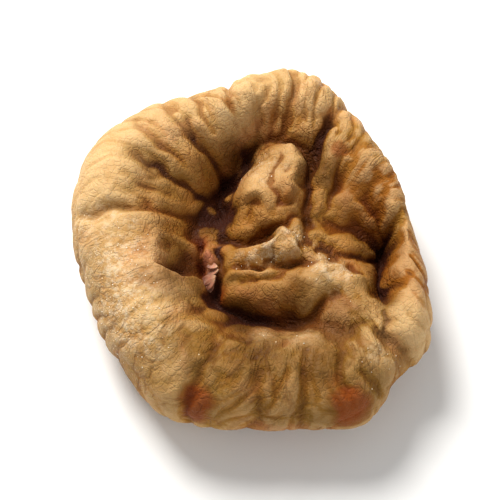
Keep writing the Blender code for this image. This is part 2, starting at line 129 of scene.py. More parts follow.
# Creases in the face, each as a path seen from above, with its width and depth
CREASES = (
    (((-20.4, 1.2), (-18.4, 0.8), (-15.7, 0.7), (-12.7, 1.2), (-10.0, 1.6), (-7.8, 2.2), (-4.6, 2.5)),
     1.5, 1.3),
    (((-15.6, 8.8), (-13.2, 8.1), (-11.2, 7.0), (-9.2, 5.8), (-7.4, 5.5), (-4.6, 4.9)), 1.7, 1.5),
    (((-15.2, 5.6), (-11.4, 4.2), (-7.0, 3.9)), 1.2, 0.5),
    (((-14.6, 13.2), (-10.4, 9.6), (-6.6, 7.2)), 1.2, 0.6),
    (((-10.6, 15.8), (-9.3, 13.8), (-6.9, 10.9), (-4.7, 10.1), (-3.4, 9.4)), 1.7, 1.6),
    (((-7.0, 16.4), (-6.2, 14.1), (-4.8, 12.4), (-3.8, 11.6)), 1.3, 1.0),
    (((-2.8, 20.2), (-2.4, 18.2), (-1.6, 16.0), (-1.4, 14.0)), 1.5, 1.2),
    (((1.9, 19.6), (1.5, 16.6), (0.9, 15.5), (0.6, 12.9)), 1.6, 1.4),
    (((3.6, 19.6), (3.4, 15.6), (2.9, 12.6)), 1.2, 0.8),
    (((5.8, 20.2), (5.4, 17.2), (5.4, 15.1), (4.9, 11.8)), 1.6, 1.4),
    (((13.6, 17.6), (11.0, 14.9), (9.2, 11.8), (7.7, 9.0), (6.9, 7.0)), 1.5, 1.6),
    (((2.4, 13.6), (0.3, 12.6), (-1.7, 11.1), (-3.0, 9.2), (-3.6, 6.6), (-3.3, 3.0), (-2.2, -0.8)), 3.8, 3.1),
    (((2.4, 13.0), (4.0, 12.4), (5.4, 12.8)), 1.4, 0.7),
    (((-3.6, 7.6), (-1.8, 9.6), (0.6, 11.4)), 2.6, 1.6),
    (((-3.6, 0.8), (-1.4, -0.3), (1.0, -0.9), (2.8, -0.2)), 2.0, 2.1),
    (((1.6, -0.6), (3.6, 0.6), (6.0, 1.6)), 1.2, 0.8),
    (((4.4, 14.6), (5.4, 12.0), (6.9, 8.4), (6.2, 5.0), (7.2, 1.6), (6.8, -2.2)), 1.8, 1.5),
    (((12.8, 10.4), (11.8, 7.1), (10.1, 4.4), (8.6, 2.0)), 1.2, 1.0),
    (((8.8, 2.6), (12.2, 0.6), (15.4, -0.6)), 1.7, 0.9),
    (((15.6, 5.0), (13.2, 3.6), (10.6, 3.4)), 1.0, 0.4),
    (((6.8, -2.2), (8.6, -2.6), (11.2, -3.4), (13.6, -2.9), (16.0, -1.6)), 1.9, 1.6),
    (((15.8, 0.4), (16.0, -2.0), (16.3, -5.5), (16.4, -10.6)), 3.0, 2.6),
    (((16.2, -7.6), (16.4, -11.8), (16.6, -14.6), (17.2, -18.0)), 2.2, 1.3),
    (((-3.0, -4.7), (1.8, -4.8), (5.7, -4.7)), 1.2, 1.0),
    (((-1.4, -6.4), (1.2, -6.7), (4.4, -6.2)), 1.0, 0.6),
    (((6.2, -5.6), (6.2, -7.0), (7.4, -8.2)), 1.2, 0.4),
    (((10.2, -5.2), (9.6, -7.2), (10.8, -9.4)), 1.2, 0.6),
    (((11.6, -4.4), (13.4, -6.4), (14.2, -9.4)), 1.2, 0.7),
    (((-3.2, -0.6), (-3.4, -3.4), (-4.1, -5.8), (-3.4, -8.0), (-1.2, -10.0), (1.6, -10.8), (5.4, -10.9),
      (9.4, -12.0)), 1.9, 2.0),
    (((-5.8, -0.4), (-5.5, -3.4), (-5.2, -7.2)), 1.3, 1.5),
    (((-3.4, -12.2), (-5.0, -17.6), (-6.4, -20.8), (-7.8, -24.0)), 1.9, 0.9),
    (((1.8, -14.9), (1.5, -20.1), (0.9, -23.6)), 2.0, 0.5),
    (((6.6, -14.8), (6.3, -19.4), (5.8, -24.0)), 1.4, 0.7),
    (((9.7, -11.8), (10.2, -16.7), (11.6, -21.8)), 1.8, 0.9),
    (((11.4, -10.4), (15.6, -13.8), (19.0, -16.4)), 1.9, 0.9),
    (((13.0, -17.6), (15.4, -21.2)), 1.5, 0.5),
)
CREASE_CHANGE = 0.28
CREASE_CHANGE_SPAN = 6.0
VALLEY_ROUNDING = 0.22
PATH_END_SHARE = 0.22
PATH_END_STRENGTH = 0.25

# The pocket beside the hollow, which cuts in under its near lip: middle, length, width, heading, depth
POCKET = ((-8.1, -5.0), 6.4, 7.6, 14, 3.6)
POCKET_LIP = 2.6
POCKET_SOFTNESS = (1.5, 0.8)

# Pleats: how many there are to the round, their length, and their height in each part of the skin
PLEATS = 46
PLEAT_LENGTH = 12.0
UNDER_PLEATS = 27
UNDER_PLEAT_LENGTH = 17.0
FACE_PLEAT_HEIGHT = 0.7
WALL_PLEAT_HEIGHT = 0.42
UNDER_PLEAT_HEIGHT = 0.95
PLEAT_STRENGTH = (
    (0, 0.5), (45, 0.5), (70, 0.8), (95, 1.1), (125, 0.8), (165, 0.42), (205, 0.3), (235, 0.4),
    (275, 0.55), (320, 0.5),
)
PLEAT_JITTER = (0.08, 0.92)
PLEAT_BACK_WIDTH = 0.75
PLEAT_WANDER = 0.014
PLEAT_WANDER_SPAN = 15.0
PLEAT_WIGGLE = 0.0035
PLEAT_WIGGLE_SPAN = 4.5
PLEAT_CHANGE = 0.3
PLEAT_CHANGE_SPAN = 20.0
LUMP_HEIGHT = 0.26
LUMP_SPAN = 11.0
PROFILE_LENGTH = 57.0

# Where each part of the skin begins and is full, by height share: 1 at the top and -1 at the bottom
SINK_BAND = (0.0, 0.18)
FACE_BAND = (0.02, 0.4)
CREASE_BAND = (-0.35, 0.05)
UNDER_BAND = (-0.3, -0.8)
PUCKER_BAND = (-0.2, -0.5)
CENTRE_BAND = (-0.1, 0.75)
PLAIN_ISLAND_BAND = (0.48, 0.72)

# The stem side: the pucker that the skin draws into, and the stub of dried stem bent over in it
STEM_PLACE = (1.2, 0.8)
PUCKER_WIDTH = 5.2
PUCKER_DEPTH = 4.1
PUCKER_STEEPNESS = 2.4
STUB_PATH = ((1.2, 0.8, 4.6), (0.9, 0.7, 3.0), (-0.2, 0.2, 2.05), (-1.7, -0.5, 1.7), (-3.1, -1.2, 1.65))
STUB_RADII = (3.0, 2.2, 1.55, 1.25, 1.3)
STUB_FLUTES = 5
STUB_FLUTE_DEPTH = 0.11
STUB_SIDEWAYS = (0.42, -0.91, 0.0)
STUB_SEGMENTS = 96
STUB_RINGS = 72
STUB_FIBRES = 23
STUB_FIBRE_DEPTH = 0.035
STUB_FIBRE_SWAY = 1.3
STUB_FIBRE_TWIST = 0.25
STUB_DISH_DEPTH = 0.35
STUB_DISH_TEETH = 9
STUB_CUT_SHARE = 0.84
STUB_TIP_SHARE = 0.05

# The eye: small dry scales, each with its place seen from above, heading, rise, length and width
EYE_SCALES = (
    ((-5.1, -3.1), -28, 22, 1.5, 0.9),
    ((-5.2, -3.8), -4, 34, 1.8, 1.1),
    ((-5.2, -4.5), 12, 28, 1.9, 1.2),
    ((-4.9, -5.2), 34, 36, 1.7, 1.0),
    ((-4.6, -5.8), 62, 24, 1.4, 0.9),
)
SCALE_THICKNESS = 0.14
SCALE_CUP = 0.35
SCALE_CURL = 0.3
SEAT_REACH = 0.35

# Sugar: grains that sit on the bloom and in the folds of the face
GRAINS = 320
GRAIN_SIZES = (0.03, 0.09)
GRAIN_DENTS = (0.6, 1.2)
GRAIN_STRETCH = (0.7, 1.4)

# The fine skin: wrinkles that the solid leaves out
BALL_CUTS = (62, 1)
FINE_PLEATS = 118
FINE_PLEAT_LENGTH = 9.0
FINE_PLEAT_REACH = (0.5, 0.75)
FINE_PLEAT_FOOT = (-0.99, -0.8)
FINE_PLEAT_PATCHES = 9.0

# Crumples: the span of each size of facet, and how high it stands in the hollow and on the outer skin
CRUMPLES = ((3.3, 1.4, 0.25), (1.7, 1.1, 0.6), (0.95, 0.55, 0.35))
CRUMPLE_GRID = 64
CRUMPLE_BACK_WIDTH = 0.6
CRUMPLE_WARP = 0.9
CRUMPLE_WARP_SPAN = 3.4
CRUMPLE_PATCHES = 6.0
CRUMPLE_REACH = (0.4, 0.95)
CRUMPLE_BY_DIRECTION = (
    (0, 0.35), (60, 0.5), (95, 0.4), (125, 0.12), (185, 0.12), (220, 0.3), (260, 0.7), (310, 1.0),
)
DIRECTION_REACH = (0.25, 0.45)

# How much of the crumples a crease smooths away, and the depths at which that begins and is full
CREASE_CALM = 0.75
CALM_DEPTHS = (0.5, 2.0)

# The skin's own run, which the colour of its thin wrinkles follows
RUN_RADIUS = 21.0
RUN_STRETCH = 0.28

# Valleys of three sizes: the attribute's name, how far the skin is smoothed to find them, and their depth
# The colour paints shade into these valleys and highlight onto the ridges between them
VALLEYS = (("fine_valley", 6, 0.03), ("valley", 50, 0.2), ("deep_valley", 260, 0.9))
# How deep the hollow is where its mask is full; the mask darkens the colour there as painted shade
DEEPEST_HOLLOW = 8.0

# Colour patches on the face, each as a place seen from above, with its reach and strength
# Pale patches: partly the skin's own paler colour, partly painted highlight on the rim and painted light on
# slopes that lie in shade
PALE_AND_HIGHLIGHT_PATCHES = (
    ((-18.5, 6.0), 7.0, 0.9), ((-15.0, 11.5), 5.0, 0.8), ((-9.5, 16.0), 6.0, 0.6), ((-1.0, 19.0), 6.0, 0.85),
    ((6.0, 19.0), 4.0, 0.6), ((-16.5, -4.0), 6.5, 0.6), ((-13.5, -11.0), 6.0, 0.6), ((-9.5, -9.0), 4.0, 0.5),
    ((2.2, 5.8), 2.6, 1.3), ((4.4, 9.0), 2.0, 1.0), ((-2.2, 13.6), 1.9, 0.9), ((-20.4, 7.0), 3.6, 1.0),
    ((7.4, 14.6), 1.6, 0.6), ((-10.0, -17.4), 3.0, 0.5), ((19.2, -13.0), 3.8, 0.8), ((20.4, -3.6), 2.4, 0.5),
    ((10.0, 16.5), 3.0, 0.35), ((1.8, -13.4), 1.8, 0.62), ((4.4, -12.8), 1.5, 0.5), ((6.8, -13.8), 2.0, 0.62),
    ((9.7, -12.5), 1.5, 0.6), ((8.8, -5.2), 1.8, 0.5), ((9.9, 9.2), 1.3, 0.6), ((-2.4, 13.8), 1.6, 1.2),
)
# Brown patches: partly darker stretches of skin, partly painted shade in the pocket, along the crevices and
# in the groove on the right
BROWN_AND_SHADE_PATCHES = (
    ((0.5, -16.5), 6.0, 1.0), ((8.5, -17.6), 5.0, 1.0), ((13.0, -19.0), 4.0, 0.7), ((7.0, -21.5), 6.0, 0.5),
    ((-11.5, 5.0), 4.0, 0.3), ((9.0, 8.5), 3.0, 0.4), ((11.2, -22.2), 3.4, 1.0), ((-4.0, -22.5), 4.0, 0.5),
    ((-1.6, -9.6), 1.8, 1.0), ((-0.8, -10.9), 2.6, 1.6), ((1.2, -11.4), 1.7, 1.0), ((5.0, -11.6), 2.0, 0.5),
    ((10.9, -11.3), 3.2, 0.75), ((-9.2, -8.1), 2.2, 0.9), ((-8.0, -5.6), 2.2, 0.6),
    ((-4.9, 1.9), 1.9, 1.0), ((-5.2, 4.2), 1.3, 0.8), ((-1.9, 10.7), 1.4, 1.1), ((-6.6, -6.8), 1.8, 0.6),
    ((16.0, 0.2), 1.6, 0.6), ((16.2, -2.6), 2.0, 1.1), ((16.2, -6.0), 2.1, 1.1), ((16.4, -9.6), 1.9, 0.8),
    ((4.2, 3.4), 1.1, 0.8), ((-5.2, -17.4), 4.0, 0.95), ((8.6, -7.6), 2.0, 0.5), ((5.6, -8.0), 2.0, 0.9),
    ((8.8, 7.0), 2.4, 0.95), ((-2.9, 3.2), 1.7, 0.8), ((6.4, 6.4), 1.8, 0.8), ((7.2, 1.4), 1.8, 0.8),
    ((-11.4, 7.5), 2.2, 0.55), ((11.9, 9.9), 2.4, 0.4), ((14.2, -5.4), 2.4, 0.4), ((-11.0, 5.6), 0.7, 0.9),
    ((-15.4, -12.6), 0.8, 0.6), ((12.2, 0.4), 1.6, 0.5),
)
AMBER_PATCHES = (
    ((4.3, 3.8), 1.3, 0.7), ((14.7, 4.3), 4.2, 0.8), ((13.8, 8.0), 3.6, 0.5), ((7.8, 14.6), 2.4, 0.25),
    ((3.0, -8.6), 3.4, 0.4), ((2.6, 15.2), 1.4, 0.6), ((-1.8, 16.2), 1.2, 0.5), ((18.9, -4.9), 4.2, 0.85),
    ((18.6, 3.6), 3.0, 0.4),
)
RUST_PATCHES = (
    ((11.8, -22.3), 2.0, 1.0), ((-6.0, -22.3), 1.8, 1.1), ((9.6, 14.0), 1.4, 0.4), ((10.8, 9.4), 1.2, 0.5),
    ((-5.6, -0.6), 1.2, 0.7), ((-3.6, -7.6), 1.6, 0.8), ((10.0, -19.4), 1.6, 0.3), ((-5.6, -4.2), 0.7, 0.9),
)
BLOOM_PATCHES = (
    ((-15.6, -5.4), 4.6, 0.6), ((-14.2, -11.0), 4.6, 0.7), ((-18.6, -0.8), 4.0, 0.4),
    ((-11.0, -15.0), 3.6, 0.4), ((2.8, -3.4), 2.2, 0.9), ((5.4, -1.6), 2.0, 0.8), ((6.0, -14.6), 2.6, 0.2),
    ((1.8, -13.6), 1.8, 0.45), ((6.8, -13.8), 1.8, 0.45), ((14.6, -17.0), 3.0, 0.3), ((1.8, 7.6), 2.6, 0.7),
    ((0.2, -3.8), 2.0, 0.6), ((8.6, -5.4), 2.2, 0.7), ((11.4, -5.8), 1.6, 0.5), ((10.2, -8.4), 1.4, 0.4),
)
PINK_PATCHES = (((-4.6, -3.4), 1.0, 0.9), ((-4.2, -4.8), 0.9, 0.9))
# Dark patches: painted shade, where the crevices are painted darkest and broad shadow is painted in the ring
# and the groove
CREVICE_SHADE_PATCHES = (
    ((-1.4, 10.4), 2.5, 0.8), ((-3.4, 7.6), 3.4, 1.0), ((-3.8, 3.2), 3.4, 1.0), ((-3.0, -1.4), 2.4, 0.9),
    ((-3.4, -8.2), 2.8, 1.0), ((0.2, -10.4), 3.0, 1.0), ((5.4, -11.0), 2.4, 0.4), ((-8.4, -4.6), 3.0, 0.4),
    ((-10.4, 6.6), 3.4, 0.8), ((-6.6, 5.2), 2.6, 0.8), ((-6.6, 11.0), 2.6, 0.7), ((10.0, 11.2), 3.4, 0.8),
    ((16.4, -1.2), 2.4, 1.0), ((17.0, -5.5), 3.8, 1.0), ((16.8, -12.0), 2.8, 0.5), ((12.6, -2.0), 3.0, 0.6),
    ((8.0, -2.6), 2.0, 0.8), ((6.6, 4.6), 2.0, 0.5), ((-7.4, 12.4), 3.0, 0.5), ((-3.6, 12.6), 2.0, 0.2),
)

# The stage, in metres: where the camera and lights aim, the lights and the light of the air
MIDDLE = (0.0, 0.0, 0.0065)
KEY_PLACE = (-0.12, 0.21, 0.29)
KEY_SIZE = 0.2
KEY_COLOUR = (1.0, 0.98, 0.95)
FILL_PLACE = (0.30, -0.22, 0.22)
FILL_SIZE = 0.30
AIR_LIGHT = 0.42


def by_direction(knots, degrees):
    """A smooth closed curve through (direction, value) knots, read at each of these directions."""
    at = np.array([k[0] for k in knots], float)
    value = np.array([k[1] for k in knots], float)
    at = np.concatenate([at[-2:] - 360, at, at[:2] + 360])
    value = np.concatenate([value[-2:], value, value[:2]])
    slope = np.gradient(value, at)
    degrees = np.mod(degrees, 360)
    i = np.clip(np.searchsorted(at, degrees, side="right") - 1, 0, len(at) - 2)
    span = at[i + 1] - at[i]
    t = (degrees - at[i]) / span
    return (
        value[i] * (1 + 2 * t) * (1 - t) ** 2
        + value[i + 1] * t ** 2 * (3 - 2 * t)
        + span * (slope[i] * t * (1 - t) ** 2 - slope[i + 1] * t ** 2 * (1 - t))
    )


def ease(start, full, value):
    """0 before the start and 1 from the full value on, with a smooth step between them."""
    t = np.clip((value - start) / (full - start), 0, 1)
    return t * t * (3 - 2 * t)


def waves(points, span, seed, count=14):
    """A smooth random field, about -1 to 1, whose lumps are about this far apart."""
    rng = np.random.default_rng(seed)
    headings = rng.normal(size=(count, 3))
    headings /= np.linalg.norm(headings, axis=1, keepdims=True)
    lengths = span * rng.uniform(0.7, 1.5, count)
    phases = rng.uniform(0, 2 * math.pi, count)
    total = np.cos(points @ (headings.T * (2 * math.pi / lengths)) + phases).sum(axis=1)
    return total / math.sqrt(2 * count)


def pleats(turn, along, count, length, seed):
    """Folds that run along the profile, 1 on their rounded backs and 0 in the sharp valleys between.

    turn is the share of a full round, and along the distance down the profile. The folds are the
    cells of a stretched, jittered grid, so they taper, fork and end as creased skin does.
    """
    rows = int(PROFILE_LENGTH / length) + 3
    shift = np.random.default_rng(seed).uniform(*PLEAT_JITTER, (rows, count, 2))
    a = turn * count
    b = along / length + 1
    column = np.floor(a).astype(int)
    row = np.floor(b).astype(int)
    distances = []
    for i in (-1, 0, 1):
        for j in (-1, 0, 1):
            seat = shift[np.clip(row + j, 0, rows - 1), (column + i) % count]
            distances.append(np.hypot(column + i + seat[:, 0] - a, row + j + seat[:, 1] - b))
    nearest = np.sort(np.stack(distances), axis=0)
    back = np.clip((nearest[1] - nearest[0]) / PLEAT_BACK_WIDTH, 0, 1)
    return 1 - (1 - back) ** 2


def crumple(points, span, seed):
    """Facets of crumpled skin, 1 on their backs and 0 in the creases between them."""
    seats = np.random.default_rng(seed).uniform(0, 1, (CRUMPLE_GRID, CRUMPLE_GRID, CRUMPLE_GRID, 3))
    place = points / span + CRUMPLE_GRID / 2
    cell = np.floor(place).astype(int)
    distances = []
    for i in (-1, 0, 1):
        for j in (-1, 0, 1):
            for k in (-1, 0, 1):
                near = (cell + (i, j, k)) % CRUMPLE_GRID
                seat = seats[near[:, 0], near[:, 1], near[:, 2]]
                distances.append(np.linalg.norm(cell + (i, j, k) + seat - place, axis=1))
    nearest = np.partition(np.stack(distances), 1, axis=0)
    back = np.clip((nearest[1] - nearest[0]) / CRUMPLE_BACK_WIDTH, 0, 1)
    return 1 - (1 - back) ** 2


def curve_through(path, steps=10):
    """Points on a smooth curve through the points of a path."""
    p = np.array([path[0], *path, path[-1]], float)
    made = []
    for i in range(1, len(p) - 2):
        for t in np.arange(steps) / steps:
            made.append(0.5 * (
                2 * p[i] + (p[i + 1] - p[i - 1]) * t
                + (2 * p[i - 1] - 5 * p[i] + 4 * p[i + 1] - p[i + 2]) * t ** 2
                + (3 * p[i] - 3 * p[i + 1] + p[i + 2] - p[i - 1]) * t ** 3
            ))
    return np.array([*made, p[-1]])


def beside_path(plan, path, width):
    """How near each point is to a path, 1 on it to 0 at the width and beyond, and its fade to the ends."""
    line = curve_through(path)
    nearest = np.full(len(plan), np.inf)
    share = np.zeros(len(plan))
    for i, (start, end) in enumerate(zip(line[:-1], line[1:])):
        step = end - start
        t = np.clip((plan - start) @ step / (step @ step), 0, 1)
        away = np.linalg.norm(plan - start - t[:, None] * step, axis=1)
        closer = away < nearest
        nearest[closer] = away[closer]
        share[closer] = ((i + t) / (len(line) - 1))[closer]
    fade = ease(0, PATH_END_SHARE, share) * ease(0, PATH_END_SHARE, 1 - share)
    near = 1 - np.clip(np.hypot(nearest, VALLEY_ROUNDING) / width, 0, 1)
    return near, PATH_END_STRENGTH + (1 - PATH_END_STRENGTH) * fade


def crease(plan, path, width, depth):
    """The depth of a sharp valley with rounded shoulders that follows a path."""
    near, fade = beside_path(plan, path, width)
    return depth * fade * near ** 2


def fold(plan, path, width, height):
    """The height of a round-backed fold that follows a path."""
    near, fade = beside_path(plan, path, width)
    return height * fade * (1 - (1 - near) ** 2)


def pocket(plan, middle, length, width, heading, depth):
    """The depth of a pressed-in pocket, steeper on its near side."""
    turn = math.radians(heading)
    offset = plan - np.array(middle)
    along = offset @ np.array([math.cos(turn), math.sin(turn)])
    across = offset @ np.array([-math.sin(turn), math.cos(turn)])
    far, near = POCKET_SOFTNESS
    softness = far + (near - far) * ease(0.6, -0.6, across)
    across = np.where(across < 0, across * POCKET_LIP, across)
    return depth * np.clip(1 - (along * 2 / length) ** 2 - (across * 2 / width) ** 2, 0, 1) ** softness


def reach_from_hollow(plan):
    """Each point's direction from the hollow's middle, and how far it is on the way to the outline."""
    round_trip = np.arange(0, 360, 0.5)
    radius = by_direction(OUTLINE, round_trip)
    turn = np.radians(round_trip)
    rim = np.stack([radius * np.cos(turn), radius * np.sin(turn)], axis=1) - HOLLOW_CENTRE
    rim_direction = np.degrees(np.arctan2(rim[:, 1], rim[:, 0])) % 360
    order = np.argsort(rim_direction)
    offset = plan - HOLLOW_CENTRE
    direction = np.degrees(np.arctan2(offset[:, 1], offset[:, 0])) % 360
    limit = np.interp(direction, rim_direction[order], np.linalg.norm(rim, axis=1)[order], period=360)
    return direction, np.linalg.norm(offset, axis=1) / limit


def pressed_disc(ball):
    """The plain pressed disc: points, outward directions and height share for directions on a ball."""
    heading = np.arctan2(ball[:, 1], ball[:, 0])
    flat = np.hypot(ball[:, 0], ball[:, 1])
    up = ball[:, 2]
    out = flat ** (2 / SQUARENESS)
    high = np.sign(up) * np.abs(up) ** (2 / SQUARENESS)
    radius = by_direction(OUTLINE, np.degrees(heading))
    lean = by_direction(RISE_BY_DIRECTION, np.degrees(heading)) * ease(0, RISE_SPREAD, out)
    height = np.where(up > 0, RISE_ABOVE_WIDEST + lean, DROP_BELOW_WIDEST)
    points = np.stack([
        radius * out * np.cos(heading),
        radius * out * np.sin(heading),
        WIDEST_HEIGHT + height * high,
    ], axis=1)
    steep = SQUARENESS - 1
    normal = np.stack([
        out ** steep / radius * np.cos(heading),
        out ** steep / radius * np.sin(heading),
        np.sign(up) * np.abs(high) ** steep / height,
    ], axis=1)
    return points, normal / np.linalg.norm(normal, axis=1, keepdims=True), up


def sink_face(plan):
    """How far the face drops from the plain disc: the hollow inside its rim, less the folds in it."""
    direction, reach = reach_from_hollow(plan)
    edge = by_direction(HOLLOW_EDGE, direction)
    crest = by_direction(RIM_CREST, direction)
    inward = np.clip((crest - reach) / (crest - edge), 0, 1)
    depth = by_direction(HOLLOW_DEPTH, direction)
    depth = HOLLOW_FLOOR + (depth - HOLLOW_FLOOR) * ease(0, FLOOR_REACH, reach)
    island = ISLAND_RISE * np.clip(1 - (reach / edge) ** 2, 0, 1) ** ISLAND_EASE
    standing = np.max([fold(plan, *shape) for shape in FOLDS], axis=0)
    standing *= FOLD_SHARE_ON_RIM + (1 - FOLD_SHARE_ON_RIM) * inward
    easy = np.clip(by_direction(EASY_SLOPE, direction), 0, 1)
    slope = (1 - easy) * inward ** RIM_PUFF + easy * ease(0, 1, inward)
    return depth * slope - island - standing + pocket(plan, *POCKET)


def wandering(points):
    """Where each point lies seen from above, shifted a little so that folds and creases wander."""
    in_hollow = 1 - ease(*WANDER_REACH, reach_from_hollow(points[:, :2])[1])
    plan = points[:, :2]
    for i, (size, span, more_in_hollow) in enumerate(FOLD_WANDER):
        shift = [waves(points, span, seed=axis_seed + 10 * i) for axis_seed in (61, 62)]
        plan = plan + (size + more_in_hollow * in_hollow)[:, None] * np.stack(shift, axis=1)
    return plan


def pucker_stem_side(plan):
    """How far the underside is drawn up round the stem."""
    away = np.linalg.norm(plan - STEM_PLACE, axis=1)
    return PUCKER_DEPTH * np.exp(-((away / PUCKER_WIDTH) ** PUCKER_STEEPNESS))


def round_and_along(points, up):
    """Each point's share of the round, plain and as the pleats waver, and how far down the profile it is."""
    face_share = ease(*CENTRE_BAND, up)[:, None]
    centre = face_share * np.array(HOLLOW_CENTRE) + (1 - face_share) * np.array(STEM_PLACE)
    offset = points[:, :2] - centre
    turn = np.arctan2(offset[:, 1], offset[:, 0]) / (2 * math.pi)
    wavering = turn + PLEAT_WANDER * waves(points, PLEAT_WANDER_SPAN, seed=4)
    wavering = (wavering + PLEAT_WIGGLE * waves(points, PLEAT_WIGGLE_SPAN, seed=5)) % 1
    return turn, wavering, PROFILE_LENGTH * (0.5 - np.arcsin(np.clip(up, -1, 1)) / math.pi)


def fold_skin(points, up):
    """Height of the pleats and lumps all round the fruit, out from the plain disc."""
    plain_turn, turn, along = round_and_along(points, up)
    strength = by_direction(PLEAT_STRENGTH, 360 * plain_turn)
    on_face = ease(*FACE_BAND, up)
    on_rim = ease(*PLAIN_ISLAND_BAND, reach_from_hollow(points[:, :2])[1])
    beneath = ease(*UNDER_BAND, up)
    height = FACE_PLEAT_HEIGHT * strength * on_face * on_rim
    height += WALL_PLEAT_HEIGHT * (1 - on_face) * (1 - beneath)
    folds = height * (pleats(turn, along, PLEATS, PLEAT_LENGTH, seed=11) - 1)
    under_folds = pleats(turn, along, UNDER_PLEATS, UNDER_PLEAT_LENGTH, seed=17) - 1
    folds += UNDER_PLEAT_HEIGHT * beneath * under_folds
    change = 0.8 + PLEAT_CHANGE * waves(points, PLEAT_CHANGE_SPAN, seed=7)
    return folds * change + LUMP_HEIGHT * waves(points, LUMP_SPAN, seed=31)


def wrinkle_finely(points, up, fine_height, crumple_height):
    """The wrinkles that only the fine skin has: thin pleats round the fruit and a crumpled face."""
    plain_turn, turn, along = round_and_along(points, up)
    direction, reach = reach_from_hollow(points[:, :2])
    outside = np.where(up > 0, ease(*FINE_PLEAT_REACH, reach), 1) * ease(*FINE_PLEAT_FOOT, up)
    strength = by_direction(PLEAT_STRENGTH, 360 * plain_turn)
    patchy = np.clip(0.55 + 0.5 * waves(points, FINE_PLEAT_PATCHES, seed=41), 0, 1) * strength
    thin = fine_height * outside * patchy * (pleats(turn, along, FINE_PLEATS, FINE_PLEAT_LENGTH, seed=43) - 1)
    warp = [waves(points, CRUMPLE_WARP_SPAN, seed=axis_seed) for axis_seed in (51, 52, 53)]
    warped = points + CRUMPLE_WARP * np.stack(warp, axis=1)
    inside = np.where(up > 0, 1 - ease(*CRUMPLE_REACH, reach), 0)
    patchy = np.clip(0.7 + 0.45 * waves(points, CRUMPLE_PATCHES, seed=55), 0, 1)
    patchy *= 1 - (1 - by_direction(CRUMPLE_BY_DIRECTION, direction)) * ease(*DIRECTION_REACH, reach)
    facets = 0
    for i, (span, in_hollow, on_skin) in enumerate(CRUMPLES):
        share = (inside * in_hollow + (1 - inside) * on_skin * strength) * patchy
        facets = facets + share * (crumple(warped, span, seed=57 + i) - 1)
    return thin + crumple_height * facets


def fig_points(ball, fine_height=0.0, crumple_height=0.0):
    """Where each direction on a ball lies on the dried fig's skin."""
    points, normal, up = pressed_disc(ball)
    plan = wandering(points)
    cut = sum(crease(plan, *shape) for shape in CREASES) * ease(*CREASE_BAND, up)
    cut *= 1 + CREASE_CHANGE * waves(points, CREASE_CHANGE_SPAN, seed=67)
    skin = fold_skin(points, up) - cut
    if fine_height or crumple_height:
        calm = CREASE_CALM * ease(*CALM_DEPTHS, cut)
        skin += wrinkle_finely(points, up, fine_height, crumple_height * (1 - calm))
    moved = points + normal * skin[:, None]
    moved[:, 2] += ease(*PUCKER_BAND, up) * pucker_stem_side(plan) - ease(*SINK_BAND, up) * sink_face(plan)
    return moved


def plan_on_ball(ball):
    """Where each direction on a ball lies seen from above, in the run of the folds and creases."""
    return wandering(pressed_disc(ball)[0])


def set_down(points):
    """How far the fruit's box is off the origin sideways. Its lowest parts are pressed flat at height 0."""
    return np.array([*(points[:, :2].max(axis=0) + points[:, :2].min(axis=0)) / 2, 0])


def to_box(points):
    """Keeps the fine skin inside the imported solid's box, sole and all."""
    return np.clip(points, CAD_LOW / MM, CAD_HIGH / MM)


def smoothed(points, edges, rounds):
    """The mesh's points after each has moved towards its neighbours this many times."""
    count = len(points)
    degree = np.bincount(edges.ravel(), minlength=count)[:, None]
    for _ in range(rounds):
        total = np.stack([
            np.bincount(edges[:, 0], points[edges[:, 1], axis], count)
            + np.bincount(edges[:, 1], points[edges[:, 0], axis], count)
            for axis in range(3)
        ], axis=1)
        points = 0.5 * points + 0.5 * total / degree
    return points


def deselect_all():
    if bpy.context.object and bpy.context.object.mode != "OBJECT":
        bpy.ops.object.mode_set(mode="OBJECT")
    bpy.ops.object.select_all(action="DESELECT")


def vertex_places(mesh):
    places = np.empty(len(mesh.vertices) * 3, np.float32)
    mesh.vertices.foreach_get("co", places)
    return places.reshape(-1, 3).astype(float)


def move_vertices(mesh, places_mm):
    mesh.vertices.foreach_set("co", (places_mm * MM).astype(np.float32).ravel())
    mesh.update()


def in_order(mesh):
    """Sorts the faces of a new round ball, which come in another order in each run."""
    places = vertex_places(mesh).tolist()
    faces = sorted(tuple(face.vertices) for face in mesh.polygons)
    mesh.clear_geometry()
    mesh.from_pydata(places, [], faces)


def quad_ball():
    """A ball of even four-sided faces, from a subdivided cube, and each vertex's direction on it."""
    deselect_all()
    bpy.ops.mesh.primitive_cube_add(size=2.0)
    ball = bpy.context.object
    bpy.ops.object.mode_set(mode="EDIT")
    bpy.ops.mesh.select_all(action="SELECT")
    for cuts in BALL_CUTS:
        bpy.ops.mesh.subdivide(number_cuts=cuts)
    bpy.ops.object.mode_set(mode="OBJECT")
    spread = np.tan(vertex_places(ball.data) * math.pi / 4)
    spread /= np.linalg.norm(spread, axis=1, keepdims=True)
    flat = np.hypot(spread[:, 0], spread[:, 1])
    even = np.clip(flat, 1e-9, 1) ** (SQUARENESS / 2)
    level = np.sign(spread[:, 2]) * np.sqrt(np.clip(1 - even ** 2, 0, 1))
    ratio = even / np.clip(flat, 1e-9, 1)
    return ball, np.stack([spread[:, 0] * ratio, spread[:, 1] * ratio, level], axis=1)


